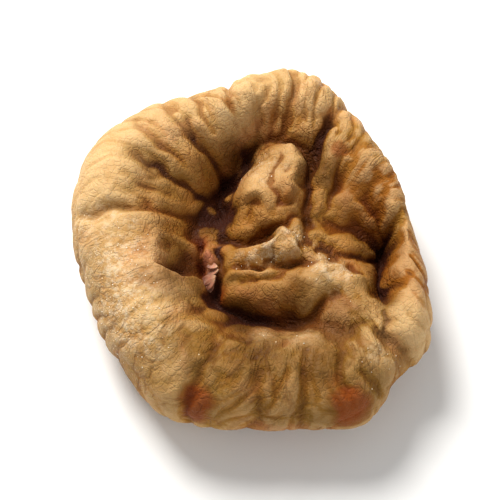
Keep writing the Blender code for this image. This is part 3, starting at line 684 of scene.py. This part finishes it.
def shape_stub(share, turn):
    """Places on the stem stub for a share from its cut face, 0, to its root, 1, and a turn round it."""
    path = curve_through(STUB_PATH, steps=12)
    radii = np.interp(np.linspace(0, 1, len(path)), np.linspace(0, 1, len(STUB_RADII)), STUB_RADII)
    from_root = 1 - share
    run = np.clip((from_root - STUB_TIP_SHARE) / (STUB_CUT_SHARE - STUB_TIP_SHARE), 0, 1) * (len(path) - 1)
    middle = np.stack([np.interp(run, np.arange(len(path)), path[:, axis]) for axis in range(3)], axis=1)
    heading = np.gradient(path, axis=0)
    ahead = np.stack([np.interp(run, np.arange(len(path)), heading[:, axis]) for axis in range(3)], axis=1)
    ahead /= np.linalg.norm(ahead, axis=1, keepdims=True)
    across = np.cross(ahead, STUB_SIDEWAYS)
    across /= np.linalg.norm(across, axis=1, keepdims=True)
    over = np.cross(ahead, across)

    twist = STUB_FIBRE_TWIST * run / STUB_RADII[0]
    fibres = np.cos(STUB_FIBRES * turn + STUB_FIBRE_SWAY * np.sin(2 * turn) + twist)
    flutes = STUB_FLUTE_DEPTH * np.cos(STUB_FLUTES * turn) + STUB_FIBRE_DEPTH * fibres
    inside_cut = np.clip((from_root - STUB_CUT_SHARE) / (1 - STUB_CUT_SHARE), 0, 1)
    closing = np.clip(from_root / STUB_TIP_SHARE, 0, 1) * (1 - inside_cut)
    radius = np.interp(run, np.arange(len(path)), radii) * (1 + flutes) * closing
    ragged = 1 + 0.5 * np.sin(STUB_DISH_TEETH * turn) * (1 - inside_cut)
    dish = STUB_DISH_DEPTH * np.sin(inside_cut * math.pi / 2) * ragged
    outward = across * np.cos(turn)[:, None] + over * np.sin(turn)[:, None]
    return middle + outward * radius[:, None] - ahead * dish[:, None], fibres, inside_cut


def shape_scale(across, along, heading, rise, length, width):
    """Places on one small cupped scale with a pointed tip, from its base at the origin."""
    half = width / 2 * np.sin(math.pi * np.clip(0.16 + 0.84 * along, 0, 1) ** 0.8) ** 0.7
    side = across * half
    lift = SCALE_CUP * side ** 2 / width + SCALE_CURL * length * along ** 2 * 0.5
    turn = math.radians(heading)
    slope = math.radians(rise)
    forward = np.array([math.cos(turn) * math.cos(slope), math.sin(turn) * math.cos(slope), math.sin(slope)])
    sideways = np.array([-math.sin(turn), math.cos(turn), 0.0])
    normal = np.cross(forward, sideways)
    return np.outer(length * along, forward) + np.outer(side, sideways) + np.outer(lift, normal)


def edges_of(mesh):
    ends = np.empty(len(mesh.edges) * 2, np.int32)
    mesh.edges.foreach_get("vertices", ends)
    return ends.reshape(-1, 2)


def put_attribute(mesh, name, values):
    layer = mesh.attributes.new(name, "FLOAT", "POINT")
    layer.data.foreach_set("value", np.ascontiguousarray(values, np.float32))


def put_places(mesh, name, values):
    layer = mesh.attributes.new(name, "FLOAT_VECTOR", "POINT")
    layer.data.foreach_set("vector", np.ascontiguousarray(values, np.float32).ravel())


def patches(plan, up, table):
    """How strongly each point is coloured by the patches of a table, 0 to 1."""
    strongest = np.zeros(len(plan))
    for place, reach, strength in table:
        away = np.linalg.norm(plan - np.array(place), axis=1) / reach
        strongest = np.maximum(strongest, strength * np.exp(-away ** 2))
    return strongest * ease(-0.1, 0.1, up)


def colour_masks(mesh, points, ball):
    """Stores, for the skin's colours, where its valleys, ridges and patches are; the colours paint shade into
    the valleys and highlight onto the ridges.
    """
    edges = edges_of(mesh)
    normals = np.empty(len(points) * 3, np.float32)
    mesh.vertex_normals.foreach_get("vector", normals)
    normals = normals.reshape(-1, 3)
    smooth = points
    for name, rounds, depth in VALLEYS:
        smooth = smoothed(smooth, edges, rounds)
        sunk = np.einsum("ij,ij->i", smooth - points, normals) / depth
        put_attribute(mesh, name, 0.5 + 0.5 * np.tanh(sunk))
    up = ball[:, 2]
    plan = plan_on_ball(ball)
    # The pale patches partly carry painted highlight, the brown ones partly painted shade and the dark ones
    # only painted shade
    for name, table in (
        ("pale", PALE_AND_HIGHLIGHT_PATCHES), ("brown", BROWN_AND_SHADE_PATCHES), ("amber", AMBER_PATCHES), ("rust", RUST_PATCHES),
        ("bloom", BLOOM_PATCHES), ("pink", PINK_PATCHES), ("dark", CREVICE_SHADE_PATCHES),
    ):
        put_attribute(mesh, name, patches(plan, up, table))
    sink = sink_face(plan) * ease(*SINK_BAND, up)
    put_attribute(mesh, "hollow", np.clip(sink / DEEPEST_HOLLOW, 0, 1))
    plain_turn, _, along = round_and_along(pressed_disc(ball)[0], up)
    turn = plain_turn * 2 * math.pi
    run = (RUN_RADIUS * np.cos(turn), RUN_RADIUS * np.sin(turn), RUN_STRETCH * along)
    put_places(mesh, "run", np.stack(run, axis=1) * MM)


def new_group(name, inputs, outputs):
    """An empty node group that reads a place and these numbers, and its input and output nodes."""
    tree = bpy.data.node_groups.new(name, "ShaderNodeTree")
    tree.interface.new_socket("Vector", in_out="INPUT", socket_type="NodeSocketVector")
    for label, default in inputs.items():
        socket = tree.interface.new_socket(label, in_out="INPUT", socket_type="NodeSocketFloat")
        socket.default_value = default
    for label in outputs:
        tree.interface.new_socket(label, in_out="OUTPUT", socket_type="NodeSocketFloat")
    return tree, tree.nodes.new("NodeGroupInput"), tree.nodes.new("NodeGroupOutput")


class Wiring:
    """Small steps for wiring one node tree. Most of them add a node and give back its output."""

    def __init__(self, tree):
        self.tree = tree

    def link(self, source, target):
        self.tree.links.new(source, target)

    def add(self, kind, **settings):
        node = self.tree.nodes.new(kind)
        for key, value in settings.items():
            setattr(node, key, value)
        return node

    def feed(self, node, values):
        for key, value in values.items():
            if isinstance(value, bpy.types.NodeSocket):
                self.link(value, node.inputs[key])
            else:
                node.inputs[key].default_value = value

    def coordinates(self):
        return self.add("ShaderNodeTexCoord").outputs["Object"]

    def attribute(self, name, output="Fac"):
        return self.add("ShaderNodeAttribute", attribute_name=name).outputs[output]

    def noise(self, vector, scale, detail=4.0, roughness=0.55, distortion=0.0):
        node = self.add("ShaderNodeTexNoise")
        self.feed(node, {"Vector": vector, "Scale": scale, "Detail": detail})
        self.feed(node, {"Roughness": roughness, "Distortion": distortion})
        return node.outputs["Fac"]

    def cells(self, vector, scale, feature="F1", randomness=1.0):
        node = self.add("ShaderNodeTexVoronoi", feature=feature)
        self.feed(node, {"Vector": vector, "Scale": scale, "Randomness": randomness})
        return node.outputs["Distance"]

    def math(self, operation, a, b=0.5, clamp=False):
        node = self.add("ShaderNodeMath", operation=operation, use_clamp=clamp)
        self.feed(node, {0: a, 1: b})
        return node.outputs[0]

    def times(self, a, b, clamp=False):
        return self.math("MULTIPLY", a, b, clamp)

    def span(self, value, low, high, to_low=0.0, to_high=1.0):
        """The value moved from one range to another, held at its ends."""
        node = self.add("ShaderNodeMapRange", interpolation_type="SMOOTHSTEP")
        self.feed(node, {
            "Value": value, "From Min": low, "From Max": high, "To Min": to_low, "To Max": to_high,
        })
        return node.outputs["Result"]

    def blend(self, share, first, second):
        """One value turning into another."""
        node = self.add("ShaderNodeMix", data_type="FLOAT")
        self.feed(node, {0: share, 2: first, 3: second})
        return node.outputs[0]

    def mix(self, share, first, second, blend="MIX"):
        node = self.add("ShaderNodeMix", data_type="RGBA", blend_type=blend, clamp_factor=True)
        self.feed(node, {0: share, 6: first, 7: second})
        return node.outputs[2]

    def relief(self, height, strength, distance, over=None):
        """The normal of a relief this high, laid over another one where there is one."""
        node = self.add("ShaderNodeBump")
        self.feed(node, {"Strength": strength, "Distance": distance, "Height": height})
        if over is not None:
            self.link(over, node.inputs["Normal"])
        return node.outputs["Normal"]


def rgba(colour):
    return (*colour, 1.0)


def mottle_group(name):
    """Soft uneven colour at three sizes, from 0 to 1, that every part of the fruit uses."""
    scales = {"Broad Scale": 90.0, "Middle Scale": 230.0, "Fine Scale": 620.0}
    tree, given, result = new_group(name, scales, ("Broad", "Middle", "Fine"))
    w = Wiring(tree)
    for size, detail, roughness, distortion, low, high in (
        ("Broad", 3.0, 0.55, 0.6, 0.3, 0.7),
        ("Middle", 5.0, 0.6, 0.4, 0.35, 0.65),
        ("Fine", 6.0, 0.65, 0.0, 0.3, 0.7),
    ):
        scale = given.outputs[size + " Scale"]
        clouds = w.noise(given.outputs["Vector"], scale, detail, roughness, distortion)
        w.link(w.span(clouds, low, high), result.inputs[size])
    return tree


def skin_grain_group(name):
    """The height of the skin's own grain: minute creased cells with fine pores."""
    tree, given, result = new_group(name, {"Cell Scale": 1500.0}, ("Height",))
    w = Wiring(tree)
    warp = w.add("ShaderNodeTexNoise")
    w.feed(warp, {"Vector": given.outputs["Vector"], "Scale": 700.0, "Detail": 3.0})
    shifted = w.add("ShaderNodeVectorMath", operation="MULTIPLY_ADD")
    w.feed(shifted, {0: warp.outputs["Color"], 1: (0.0009, 0.0009, 0.0009), 2: given.outputs["Vector"]})
    cells = w.cells(shifted.outputs[0], given.outputs["Cell Scale"], feature="DISTANCE_TO_EDGE")
    creased = w.span(cells, 0.0, 0.18)
    pores = w.noise(given.outputs["Vector"], 4200.0, detail=4.0, roughness=0.6)
    height = w.math("MULTIPLY_ADD", pores, 0.45)
    w.link(creased, height.node.inputs[2])
    w.link(height, result.inputs["Height"])
    return tree


def wrinkle_group(name):
    """Fine wrinkles, 1 on their backs and 0 along thin valleys that wander, fork and end."""
    tree, given, result = new_group(name, {"Scale": 800.0, "Width": 0.07}, ("Height",))
    w = Wiring(tree)
    at = given.outputs["Vector"]
    height = None
    for detail, larger, wider in ((2.0, 1.0, 1.0), (3.0, 2.1, 1.5)):
        lumps = w.noise(at, w.times(given.outputs["Scale"], larger), detail, 0.5, 0.5)
        off = w.math("ABSOLUTE", w.math("SUBTRACT", lumps, 0.5))
        line = w.span(off, 0.0, w.times(given.outputs["Width"], wider))
        height = line if height is None else w.times(height, w.span(line, 0.0, 1.0, 0.55, 1.0))
    w.link(height, result.inputs["Height"])
    return tree


def grouped(wiring, tree, **values):
    node = wiring.add("ShaderNodeGroup")
    node.node_tree = tree
    for key, value in values.items():
        wiring.feed(node, {key.replace("_", " "): value})
    return node


def principled(name):
    material = bpy.data.materials.new(name)
    material.use_nodes = True
    return material, Wiring(material.node_tree), material.node_tree.nodes["Principled BSDF"]


def skin_material(p, mottle, grain, wrinkle):
    """Dried fig skin: tan to cream with amber and rust patches and sugar bloom, with painted highlights on
    its ridges and painted shade in its valleys, wrinkles, hollow and crevices.
    """
    material, w, shader = principled("fig_skin_dried")
    at = w.coordinates()
    soft = grouped(w, mottle, Vector=at)
    valley = w.attribute("valley")
    fine_valley = w.attribute("fine_valley")
    deep = w.attribute("deep_valley")
    hollow = w.attribute("hollow")

    broad = soft.outputs["Broad"]
    middle = soft.outputs["Middle"]
    fine = soft.outputs["Fine"]
    ragged = w.noise(at, 330.0, 5.0, 0.6, 0.4)
    outside = w.span(hollow, 0.45, 0.1)
    crumpled = grouped(w, wrinkle, Vector=at, Scale=620.0).outputs["Height"]
    drawn = grouped(w, wrinkle, Vector=w.attribute("run", "Vector"), Scale=520.0).outputs["Height"]
    patchy = w.span(w.noise(at, 120.0, 3.0, 0.5, 0.6), 0.36, 0.62, 0.15, 1.0)
    patchy = w.times(patchy, w.span(w.attribute("pale"), 0.1, 0.9, 1.0, 0.35))
    wrinkles = w.blend(patchy, 1.0, w.blend(outside, crumpled, drawn))

    def patch(name):
        """A patch of the fruit with a ragged edge."""
        strength = w.attribute(name)
        total = w.math("ADD", strength, w.times(ragged, 1.2))
        return w.times(w.span(total, 0.55, 1.4), w.span(strength, 0.02, 0.3))

    colour = w.mix(broad, rgba(p.tan), rgba(p.ochre))
    colour = w.mix(w.times(middle, 0.6), colour, rgba(p.olive))
    blush = w.span(w.noise(at, 170.0, 5.0, 0.6, 0.5), 0.5, 0.68, 0.0, 0.7)
    colour = w.mix(blush, colour, rgba(p.blush))
    # Pale patches in cream: partly the skin's own paler colour, partly painted highlight and painted light on
    # shaded slopes
    colour = w.mix(w.times(w.attribute("pale"), 0.78), colour, rgba(p.cream))
    colour = w.mix(w.times(fine, 0.3), colour, rgba(p.ochre))
    # Brown: partly darker skin, partly painted shade in the pocket, the crevices and the groove
    brown = w.times(w.attribute("brown"), w.span(fine, 0.0, 1.0, 1.0, 0.75))
    brown = w.times(brown, w.span(w.attribute("pale"), 0.4, 1.0, 1.0, 0.25))
    colour = w.mix(brown, colour, rgba(p.brown))
    colour = w.mix(patch("amber"), colour, rgba(p.amber))
    rust = patch("rust")
    colour = w.mix(rust, colour, rgba(p.rust))

    # Lighter on the backs of the folds: partly pale sugar bloom, partly painted highlight where light falls
    # on them
    ridge_bloom_and_highlight = w.math("ADD", w.span(valley, 0.5, 0.1), w.span(fine_valley, 0.45, 0.1, 0.0, 0.4), clamp=True)
    ridge_bloom_and_highlight = w.times(ridge_bloom_and_highlight, w.span(hollow, 0.2, 0.8, 0.4, 0.14))
    ridge_bloom_and_highlight = w.times(ridge_bloom_and_highlight, w.span(w.math("ADD", brown, rust), 0.0, 0.8, 1.0, 0.1))
    colour = w.mix(ridge_bloom_and_highlight, colour, rgba(p.cream))

    speckle = w.span(w.noise(at, 1100.0, 6.0, 0.7), 0.42, 0.62)
    clear = w.span(w.math("ADD", brown, rust), 0.0, 0.7, 1.0, 0.15)
    bloom = w.times(w.times(patch("bloom"), clear), speckle, clamp=True)
    colour = w.mix(w.times(bloom, 0.55), colour, rgba(p.bloom))
    colour = w.mix(w.attribute("pink"), colour, rgba(p.pink))

    # Painted shade: the colour darkens between the folds, more so in the hollow
    painted_valley_shade = w.times(w.span(valley, 0.5, 0.9), w.span(hollow, 0.1, 0.6, 0.5, 0.95))
    colour = w.mix(painted_valley_shade, colour, rgba(p.valley), "MULTIPLY")
    # Painted shade: the colour darkens in the valleys of the thin wrinkles
    colour = w.mix(w.span(wrinkles, 0.9, 0.0, 0.0, 0.52), colour, rgba(p.wrinkle), "MULTIPLY")
    # Painted shade: the colour darkens deeper in the hollow
    colour = w.mix(w.span(hollow, 0.1, 0.9, 0.0, 0.85), colour, rgba(p.hollow), "MULTIPLY")
    # Painted shade: crevices and deep valleys turn nearly black, most of all within the dark patches
    painted_crevice_dark = w.math("ADD", w.span(fine_valley, 0.6, 0.95, 0.0, 0.5), w.span(deep, 0.6, 0.9), clamp=True)
    dark = w.times(painted_crevice_dark, w.span(valley, 0.45, 0.8), clamp=True)
    dark = w.times(dark, w.span(w.attribute("dark"), 0.0, 0.8, 0.08, 1.0))
    colour = w.mix(dark, colour, rgba(p.crevice_shade_tint))
    rough = w.math("ADD", w.span(fine, 0.0, 1.0, 0.5, 0.66), w.times(bloom, 0.25), clamp=True)
    folded = w.relief(wrinkles, 0.8, 0.00017)
    grained = w.relief(grouped(w, grain, Vector=at).outputs["Height"], 0.6, 0.00008, over=folded)
    w.feed(shader, {
        "Base Color": colour, "Roughness": rough, "Normal": grained, "Specular IOR Level": 0.1,
        "Subsurface Weight": 0.1, "Subsurface Radius": (1.0, 0.42, 0.16), "Subsurface Scale": 0.0012,
    })
    return material


def stem_material(p, mottle):
    """Dried stem: woody and fluted, darker between its fibres, with a pale cut face."""
    material, w, shader = principled("fig_stem_dried")
    at = w.coordinates()
    soft = grouped(w, mottle, Vector=at)
    fibre = w.attribute("fibre")
    cut = w.attribute("cut")
    colour = w.mix(w.span(fibre, -0.6, 0.7), rgba(p.groove), rgba(p.wood))
    colour = w.mix(w.times(soft.outputs["Fine"], 0.5), colour, rgba(p.fibre))
    rings = w.span(w.noise(at, 1800.0, 5.0, 0.65), 0.35, 0.6)
    face = w.mix(rings, rgba(p.cut), rgba(p.wood))
    face = w.mix(w.span(cut, 0.72, 0.9), face, rgba(p.groove))
    colour = w.mix(w.span(cut, 0.0, 0.15), colour, face)
    w.feed(shader, {
        "Base Color": colour, "Roughness": w.span(soft.outputs["Fine"], 0.0, 1.0, 0.6, 0.8),
        "Normal": w.relief(w.noise(at, 2600.0, 6.0, 0.7), 0.5, 0.00008),
    })
    return material


def scale_material(p, mottle):
    """The eye's scales: dark red at the base and pale pink to straw towards the dry tip."""
    material, w, shader = principled("fig_eye_scale")
    at = w.coordinates()
    soft = grouped(w, mottle, Vector=at, Fine_Scale=1500.0)
    along = w.attribute("along")
    colour = w.mix(w.span(along, 0.1, 0.55), rgba(p.base), rgba(p.blush))
    colour = w.mix(w.span(along, 0.55, 1.0), colour, rgba(p.tip))
    edge = w.math("ABSOLUTE", w.attribute("across"))
    colour = w.mix(w.span(edge, 0.7, 1.0, 0.0, 0.7), colour, rgba(p.base))
    colour = w.mix(w.times(soft.outputs["Fine"], 0.3), colour, rgba(p.tip))
    w.feed(shader, {
        "Base Color": colour, "Roughness": w.span(soft.outputs["Fine"], 0.0, 1.0, 0.45, 0.65),
        "Normal": w.relief(w.noise(at, 3000.0, 5.0, 0.65), 0.4, 0.00005),
        "Subsurface Weight": 0.15, "Subsurface Radius": (1.0, 0.42, 0.2), "Subsurface Scale": 0.0006,
    })
    return material


def sugar_material(p, mottle):
    """Grains of dried sugar: off-white, clouded with the syrup that they dried from."""
    material, w, shader = principled("fig_sugar_grain")
    soft = grouped(w, mottle, Vector=w.coordinates(), Broad_Scale=260.0)
    w.feed(shader, {
        "Base Color": w.mix(soft.outputs["Broad"], rgba(p.grain), rgba(p.syrup)),
        "Roughness": w.span(soft.outputs["Fine"], 0.0, 1.0, 0.35, 0.6),
    })
    return material


def shared_group(maker):
    """The node group that this function makes, made once and then used again."""
    return bpy.data.node_groups.get(maker.__name__) or maker(maker.__name__)


def finish_piece(obj, name, material, smooth=True):
    """Names a piece, gives it its material and lets it ride with the fruit."""
    obj.name = name
    obj.data.name = name
    if smooth:
        obj.data.shade_smooth()
    obj.data.materials.append(material)
    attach(obj, ROOT)


def skin_places():
    if SKIN not in bpy.data.objects:
        raise RuntimeError("Add the skin first: the scales and the sugar sit on it")
    return vertex_places(bpy.data.objects[SKIN].data) / MM


def seat(places, place):
    """The highest place on the skin within reach of this one, seen from above."""
    close = places[np.linalg.norm(places[:, :2] - place, axis=1) < SEAT_REACH]
    return close[np.argmax(close[:, 2])]


def area_light(name, at, aim, size, power, colour=(1.0, 1.0, 1.0)):
    light = bpy.data.lights.new(name, "AREA")
    light.shape = "DISK"
    light.size = size
    light.energy = power
    light.color = colour
    lamp = bpy.data.objects.new(name, light)
    lamp.location = at
    lamp.rotation_euler = (Vector(aim) - Vector(at)).to_track_quat("-Z", "Y").to_euler()
    bpy.context.scene.collection.objects.link(lamp)


def tint(name, description, default):
    """A colour that can be changed in the sidebar."""
    return FloatVectorProperty(name=name, description=description, subtype="COLOR", default=default)


class FigSkinSettings(bpy.types.PropertyGroup):
    """Sizes and colours of the skin"""

    fine_height: FloatProperty(
        name="Fine Wrinkle Height", description="Height in mm of the thin wrinkles round the fruit",
        default=0.15, unit="NONE",
    )
    crumple_height: FloatProperty(
        name="Crumple Height", description="Height in mm of the crumpled facets in the hollow",
        default=0.2, unit="NONE",
    )
    tan: tint("Tan", "Main colour of the dried skin", (0.46, 0.215, 0.040))
    ochre: tint("Ochre", "The skin's second colour", (0.32, 0.13, 0.015))
    # Cream: the skin's pale colour, also used to paint highlights on the rim and on the backs of the folds
    cream: tint("Cream", "Pale colour of the rim", (0.65, 0.44, 0.215))
    # Brown: darker skin, also used as painted shade in the pocket, the crevices and the groove
    brown: tint("Brown", "Darker stretches of skin", (0.105, 0.042, 0.005))
    amber: tint("Amber", "Translucent patches", (0.27, 0.092, 0.009))
    rust: tint("Rust", "Red-brown patches", (0.22, 0.048, 0.005))
    olive: tint("Olive", "Dull green-brown clouds", (0.27, 0.155, 0.022))
    blush: tint("Blush", "Warm pink-brown clouds", (0.50, 0.205, 0.075))
    # Wrinkle: painted shade multiplied into the colour in the thin wrinkles
    wrinkle: tint("Wrinkle", "In the thin wrinkles", (0.52, 0.36, 0.20))
    pink: tint("Pink", "The flesh that shows at the eye", (0.55, 0.22, 0.15))
    bloom: tint("Sugar Bloom", "Dried sugar on the skin", (0.74, 0.62, 0.44))
    # Valley: painted shade multiplied into the colour between the folds
    valley: tint("Valley", "Warm brown between the folds", (0.50, 0.33, 0.18))
    # Hollow: painted shade multiplied into the colour deeper in the hollow
    hollow: tint("Hollow", "What is left of the colour in the hollow", (0.70, 0.58, 0.44))
    # Crevice: painted shade that fills the deepest creases
    crevice_shade_tint: tint("Crevice", "The darkest creases", (0.035, 0.008, 0.003))


class FigStemSettings(bpy.types.PropertyGroup):
    """Colours of the stem stub"""

    wood: tint("Wood", "Main colour of the dried stem", (0.21, 0.105, 0.04))
    fibre: tint("Fibre", "Pale raised fibres", (0.38, 0.24, 0.12))
    groove: tint("Groove", "Between the fibres", (0.07, 0.028, 0.01))
    cut: tint("Cut Face", "The cut end", (0.42, 0.28, 0.15))


class FigEyeSettings(bpy.types.PropertyGroup):
    """Colours of the eye's scales and of the sugar grains"""

    base: tint("Scale Base", "Dark red foot of each scale", (0.10, 0.016, 0.006))
    blush: tint("Scale Blush", "Pink middle of each scale", (0.38, 0.145, 0.085))
    tip: tint("Scale Tip", "Dry straw tip of each scale", (0.52, 0.30, 0.17))
    grain: tint("Sugar", "Clear grains", (0.80, 0.72, 0.58))
    syrup: tint("Syrup", "Grains clouded with syrup", (0.66, 0.46, 0.24))


class FigStageSettings(bpy.types.PropertyGroup):
    """Camera, floor and light"""

    elevation: FloatProperty(
        name="Camera Elevation", description="How steeply the camera looks down", subtype="ANGLE",
        default=math.radians(66),
    )
    distance: FloatProperty(
        name="Camera Distance", description="From the camera to the fruit", unit="LENGTH", default=0.27,
    )
    lens: FloatProperty(
        name="Focal Length", description="The camera's lens", unit="CAMERA", default=165.0,
    )
    floor: tint("Floor", "Colour of the studio floor", (0.86, 0.86, 0.85))
    key_power: FloatProperty(
        name="Key Light", description="Power of the main light", unit="POWER", default=2.35,
    )
    fill_power: FloatProperty(
        name="Fill Light", description="Power of the fill light", unit="POWER", default=0.45,
    )


class FIG_OT_skin(bpy.types.Operator):
    """Builds the fig's wrinkled skin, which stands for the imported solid"""

    bl_idname = "fig.add_skin"
    bl_label = "Add Skin"

    def execute(self, context):
        p = context.scene.fig_skin
        skin, ball = quad_ball()
        shift = set_down(fig_points(ball))
        points = to_box(fig_points(ball, p.fine_height, p.crumple_height) - shift)
        move_vertices(skin.data, points)
        colour_masks(skin.data, points, ball)
        finish_piece(skin, SKIN, skin_material(
            p, shared_group(mottle_group), shared_group(skin_grain_group), shared_group(wrinkle_group),
        ))
        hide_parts(NODE)
        return {"FINISHED"}


class FIG_OT_stem(bpy.types.Operator):
    """Builds the stub of dried stem under the fig"""

    bl_idname = "fig.add_stem"
    bl_label = "Add Stem"

    def execute(self, context):
        p = context.scene.fig_stem
        deselect_all()
        bpy.ops.mesh.primitive_uv_sphere_add(segments=STUB_SEGMENTS, ring_count=STUB_RINGS, radius=1.0)
        stub = context.object
        in_order(stub.data)
        ball = vertex_places(stub.data)
        share = np.arccos(np.clip(ball[:, 2], -1, 1)) / math.pi
        points, fibres, inside_cut = shape_stub(share, np.arctan2(ball[:, 1], ball[:, 0]))
        move_vertices(stub.data, to_box(points))
        put_attribute(stub.data, "fibre", fibres)
        put_attribute(stub.data, "cut", inside_cut)
        finish_piece(stub, "fig_stem_stub", stem_material(p, shared_group(mottle_group)))
        return {"FINISHED"}


class FIG_OT_eye(bpy.types.Operator):
    """Builds the small dry scales in the fig's eye, seated on the skin"""

    bl_idname = "fig.add_eye"
    bl_label = "Add Eye Scales"

    def execute(self, context):
        p = context.scene.fig_eye
        places = skin_places()
        scales = []
        for place, *shape in EYE_SCALES:
            deselect_all()
            bpy.ops.mesh.primitive_grid_add(x_subdivisions=10, y_subdivisions=16, size=2.0)
            scale = context.object
            flat = vertex_places(scale.data)
            across = flat[:, 0]
            along = (flat[:, 1] + 1) / 2
            move_vertices(scale.data, shape_scale(across, along, *shape) + seat(places, place))
            put_attribute(scale.data, "across", across)
            put_attribute(scale.data, "along", along)
            scales.append(scale)
        for scale in scales:
            scale.select_set(True)
        bpy.ops.object.join()
        eye = context.object
        thick = eye.modifiers.new("thickness", "SOLIDIFY")
        thick.thickness = SCALE_THICKNESS * MM
        thick.offset = 0.0
        bpy.ops.object.modifier_apply(modifier=thick.name)
        finish_piece(eye, "fig_eye_scales", scale_material(p, shared_group(mottle_group)))
        return {"FINISHED"}


class FIG_OT_sugar(bpy.types.Operator):
    """Scatters grains of dried sugar over the bloom on the skin"""

    bl_idname = "fig.add_sugar"
    bl_label = "Add Sugar"

    def execute(self, context):
        p = context.scene.fig_eye
        skin = bpy.data.objects[SKIN]
        places = skin_places()
        chance = np.empty(len(places), np.float32)
        skin.data.attributes["bloom"].data.foreach_get("value", chance)
        rng = np.random.default_rng(83)
        chance = np.clip(chance, 0, 1) ** 2 + 1e-9
        seats = rng.choice(len(places), GRAINS, replace=False, p=chance / chance.sum())
        deselect_all()
        bpy.ops.mesh.primitive_ico_sphere_add(subdivisions=1, radius=1.0)
        grains = context.object
        grain = vertex_places(grains.data)
        faces = np.array([face.vertices for face in grains.data.polygons])
        corners = []
        for seat_at in seats:
            rough = grain * rng.uniform(*GRAIN_DENTS, (len(grain), 1)) * rng.uniform(*GRAIN_SIZES)
            corners.append(rough * rng.uniform(*GRAIN_STRETCH, 3) + places[seat_at])
        order = [faces + i * len(grain) for i in range(GRAINS)]
        grains.data.clear_geometry()
        held = np.clip(np.concatenate(corners) * MM, CAD_LOW, CAD_HIGH)
        grains.data.from_pydata(held.tolist(), [], np.concatenate(order).tolist())
        finish_piece(grains, "fig_sugar_grains", sugar_material(p, shared_group(mottle_group)), smooth=False)
        return {"FINISHED"}


class FIG_OT_stage(bpy.types.Operator):
    """Builds the pale floor, the soft studio light and the camera"""

    bl_idname = "fig.add_stage"
    bl_label = "Add Stage"

    def execute(self, context):
        p = context.scene.fig_stage
        deselect_all()
        bpy.ops.mesh.primitive_circle_add(vertices=96, radius=1.5, fill_type="NGON")
        floor = context.object
        floor.name = "studio_floor"
        material, w, shader = principled("studio_floor_pale")
        shader.inputs["Base Color"].default_value = rgba(p.floor)
        shader.inputs["Roughness"].default_value = 0.8
        floor.data.materials.append(material)

        middle = Vector(MIDDLE)
        area_light("key_light", KEY_PLACE, middle, KEY_SIZE, p.key_power, KEY_COLOUR)
        area_light("fill_light", FILL_PLACE, middle, FILL_SIZE, p.fill_power)
        world = bpy.data.worlds.new("studio_air")
        context.scene.world = world
        world.use_nodes = True
        background = world.node_tree.nodes["Background"]
        background.inputs["Color"].default_value = (1.0, 1.0, 1.0, 1.0)
        background.inputs["Strength"].default_value = AIR_LIGHT

        camera = bpy.data.cameras.new("camera")
        camera.lens = p.lens
        camera.clip_start = 0.01
        eye = bpy.data.objects.new("camera", camera)
        back = Vector((0.0, -math.cos(p.elevation), math.sin(p.elevation)))
        eye.location = middle + back * p.distance
        eye.rotation_euler = (-back).to_track_quat("-Z", "Y").to_euler()
        context.scene.collection.objects.link(eye)
        context.scene.camera = eye
        context.scene.view_settings.view_transform = "Standard"
        return {"FINISHED"}


class FIG_PT_panel(bpy.types.Panel):
    """Lists the fig's pieces in the sidebar"""

    bl_label = "Dried Fig"
    bl_idname = "FIG_PT_panel"
    bl_space_type = "VIEW_3D"
    bl_region_type = "UI"
    bl_category = "Fig"

    def draw(self, context):
        for settings, operators in (
            ("fig_skin", (FIG_OT_skin,)), ("fig_stem", (FIG_OT_stem,)),
            ("fig_eye", (FIG_OT_eye, FIG_OT_sugar)), ("fig_stage", (FIG_OT_stage,)),
        ):
            group = getattr(context.scene, settings)
            box = self.layout.box()
            for name in group.__annotations__:
                box.prop(group, name)
            for operator in operators:
                box.operator(operator.bl_idname)


SETTINGS = {
    "fig_skin": FigSkinSettings, "fig_stem": FigStemSettings, "fig_eye": FigEyeSettings,
    "fig_stage": FigStageSettings,
}
CLASSES = (
    *SETTINGS.values(), FIG_OT_skin, FIG_OT_stem, FIG_OT_eye, FIG_OT_sugar, FIG_OT_stage, FIG_PT_panel,
)


def register():
    for cls in CLASSES:
        bpy.utils.register_class(cls)
    for name, group in SETTINGS.items():
        setattr(bpy.types.Scene, name, PointerProperty(type=group))


def unregister():
    for name in SETTINGS:
        delattr(bpy.types.Scene, name)
    for cls in reversed(CLASSES):
        bpy.utils.unregister_class(cls)


def main():
    register()
    bpy.ops.fig.add_skin()
    bpy.ops.fig.add_stem()
    bpy.ops.fig.add_eye()
    bpy.ops.fig.add_sugar()
    bpy.ops.fig.add_stage()


if __name__ == "__main__":
    main()
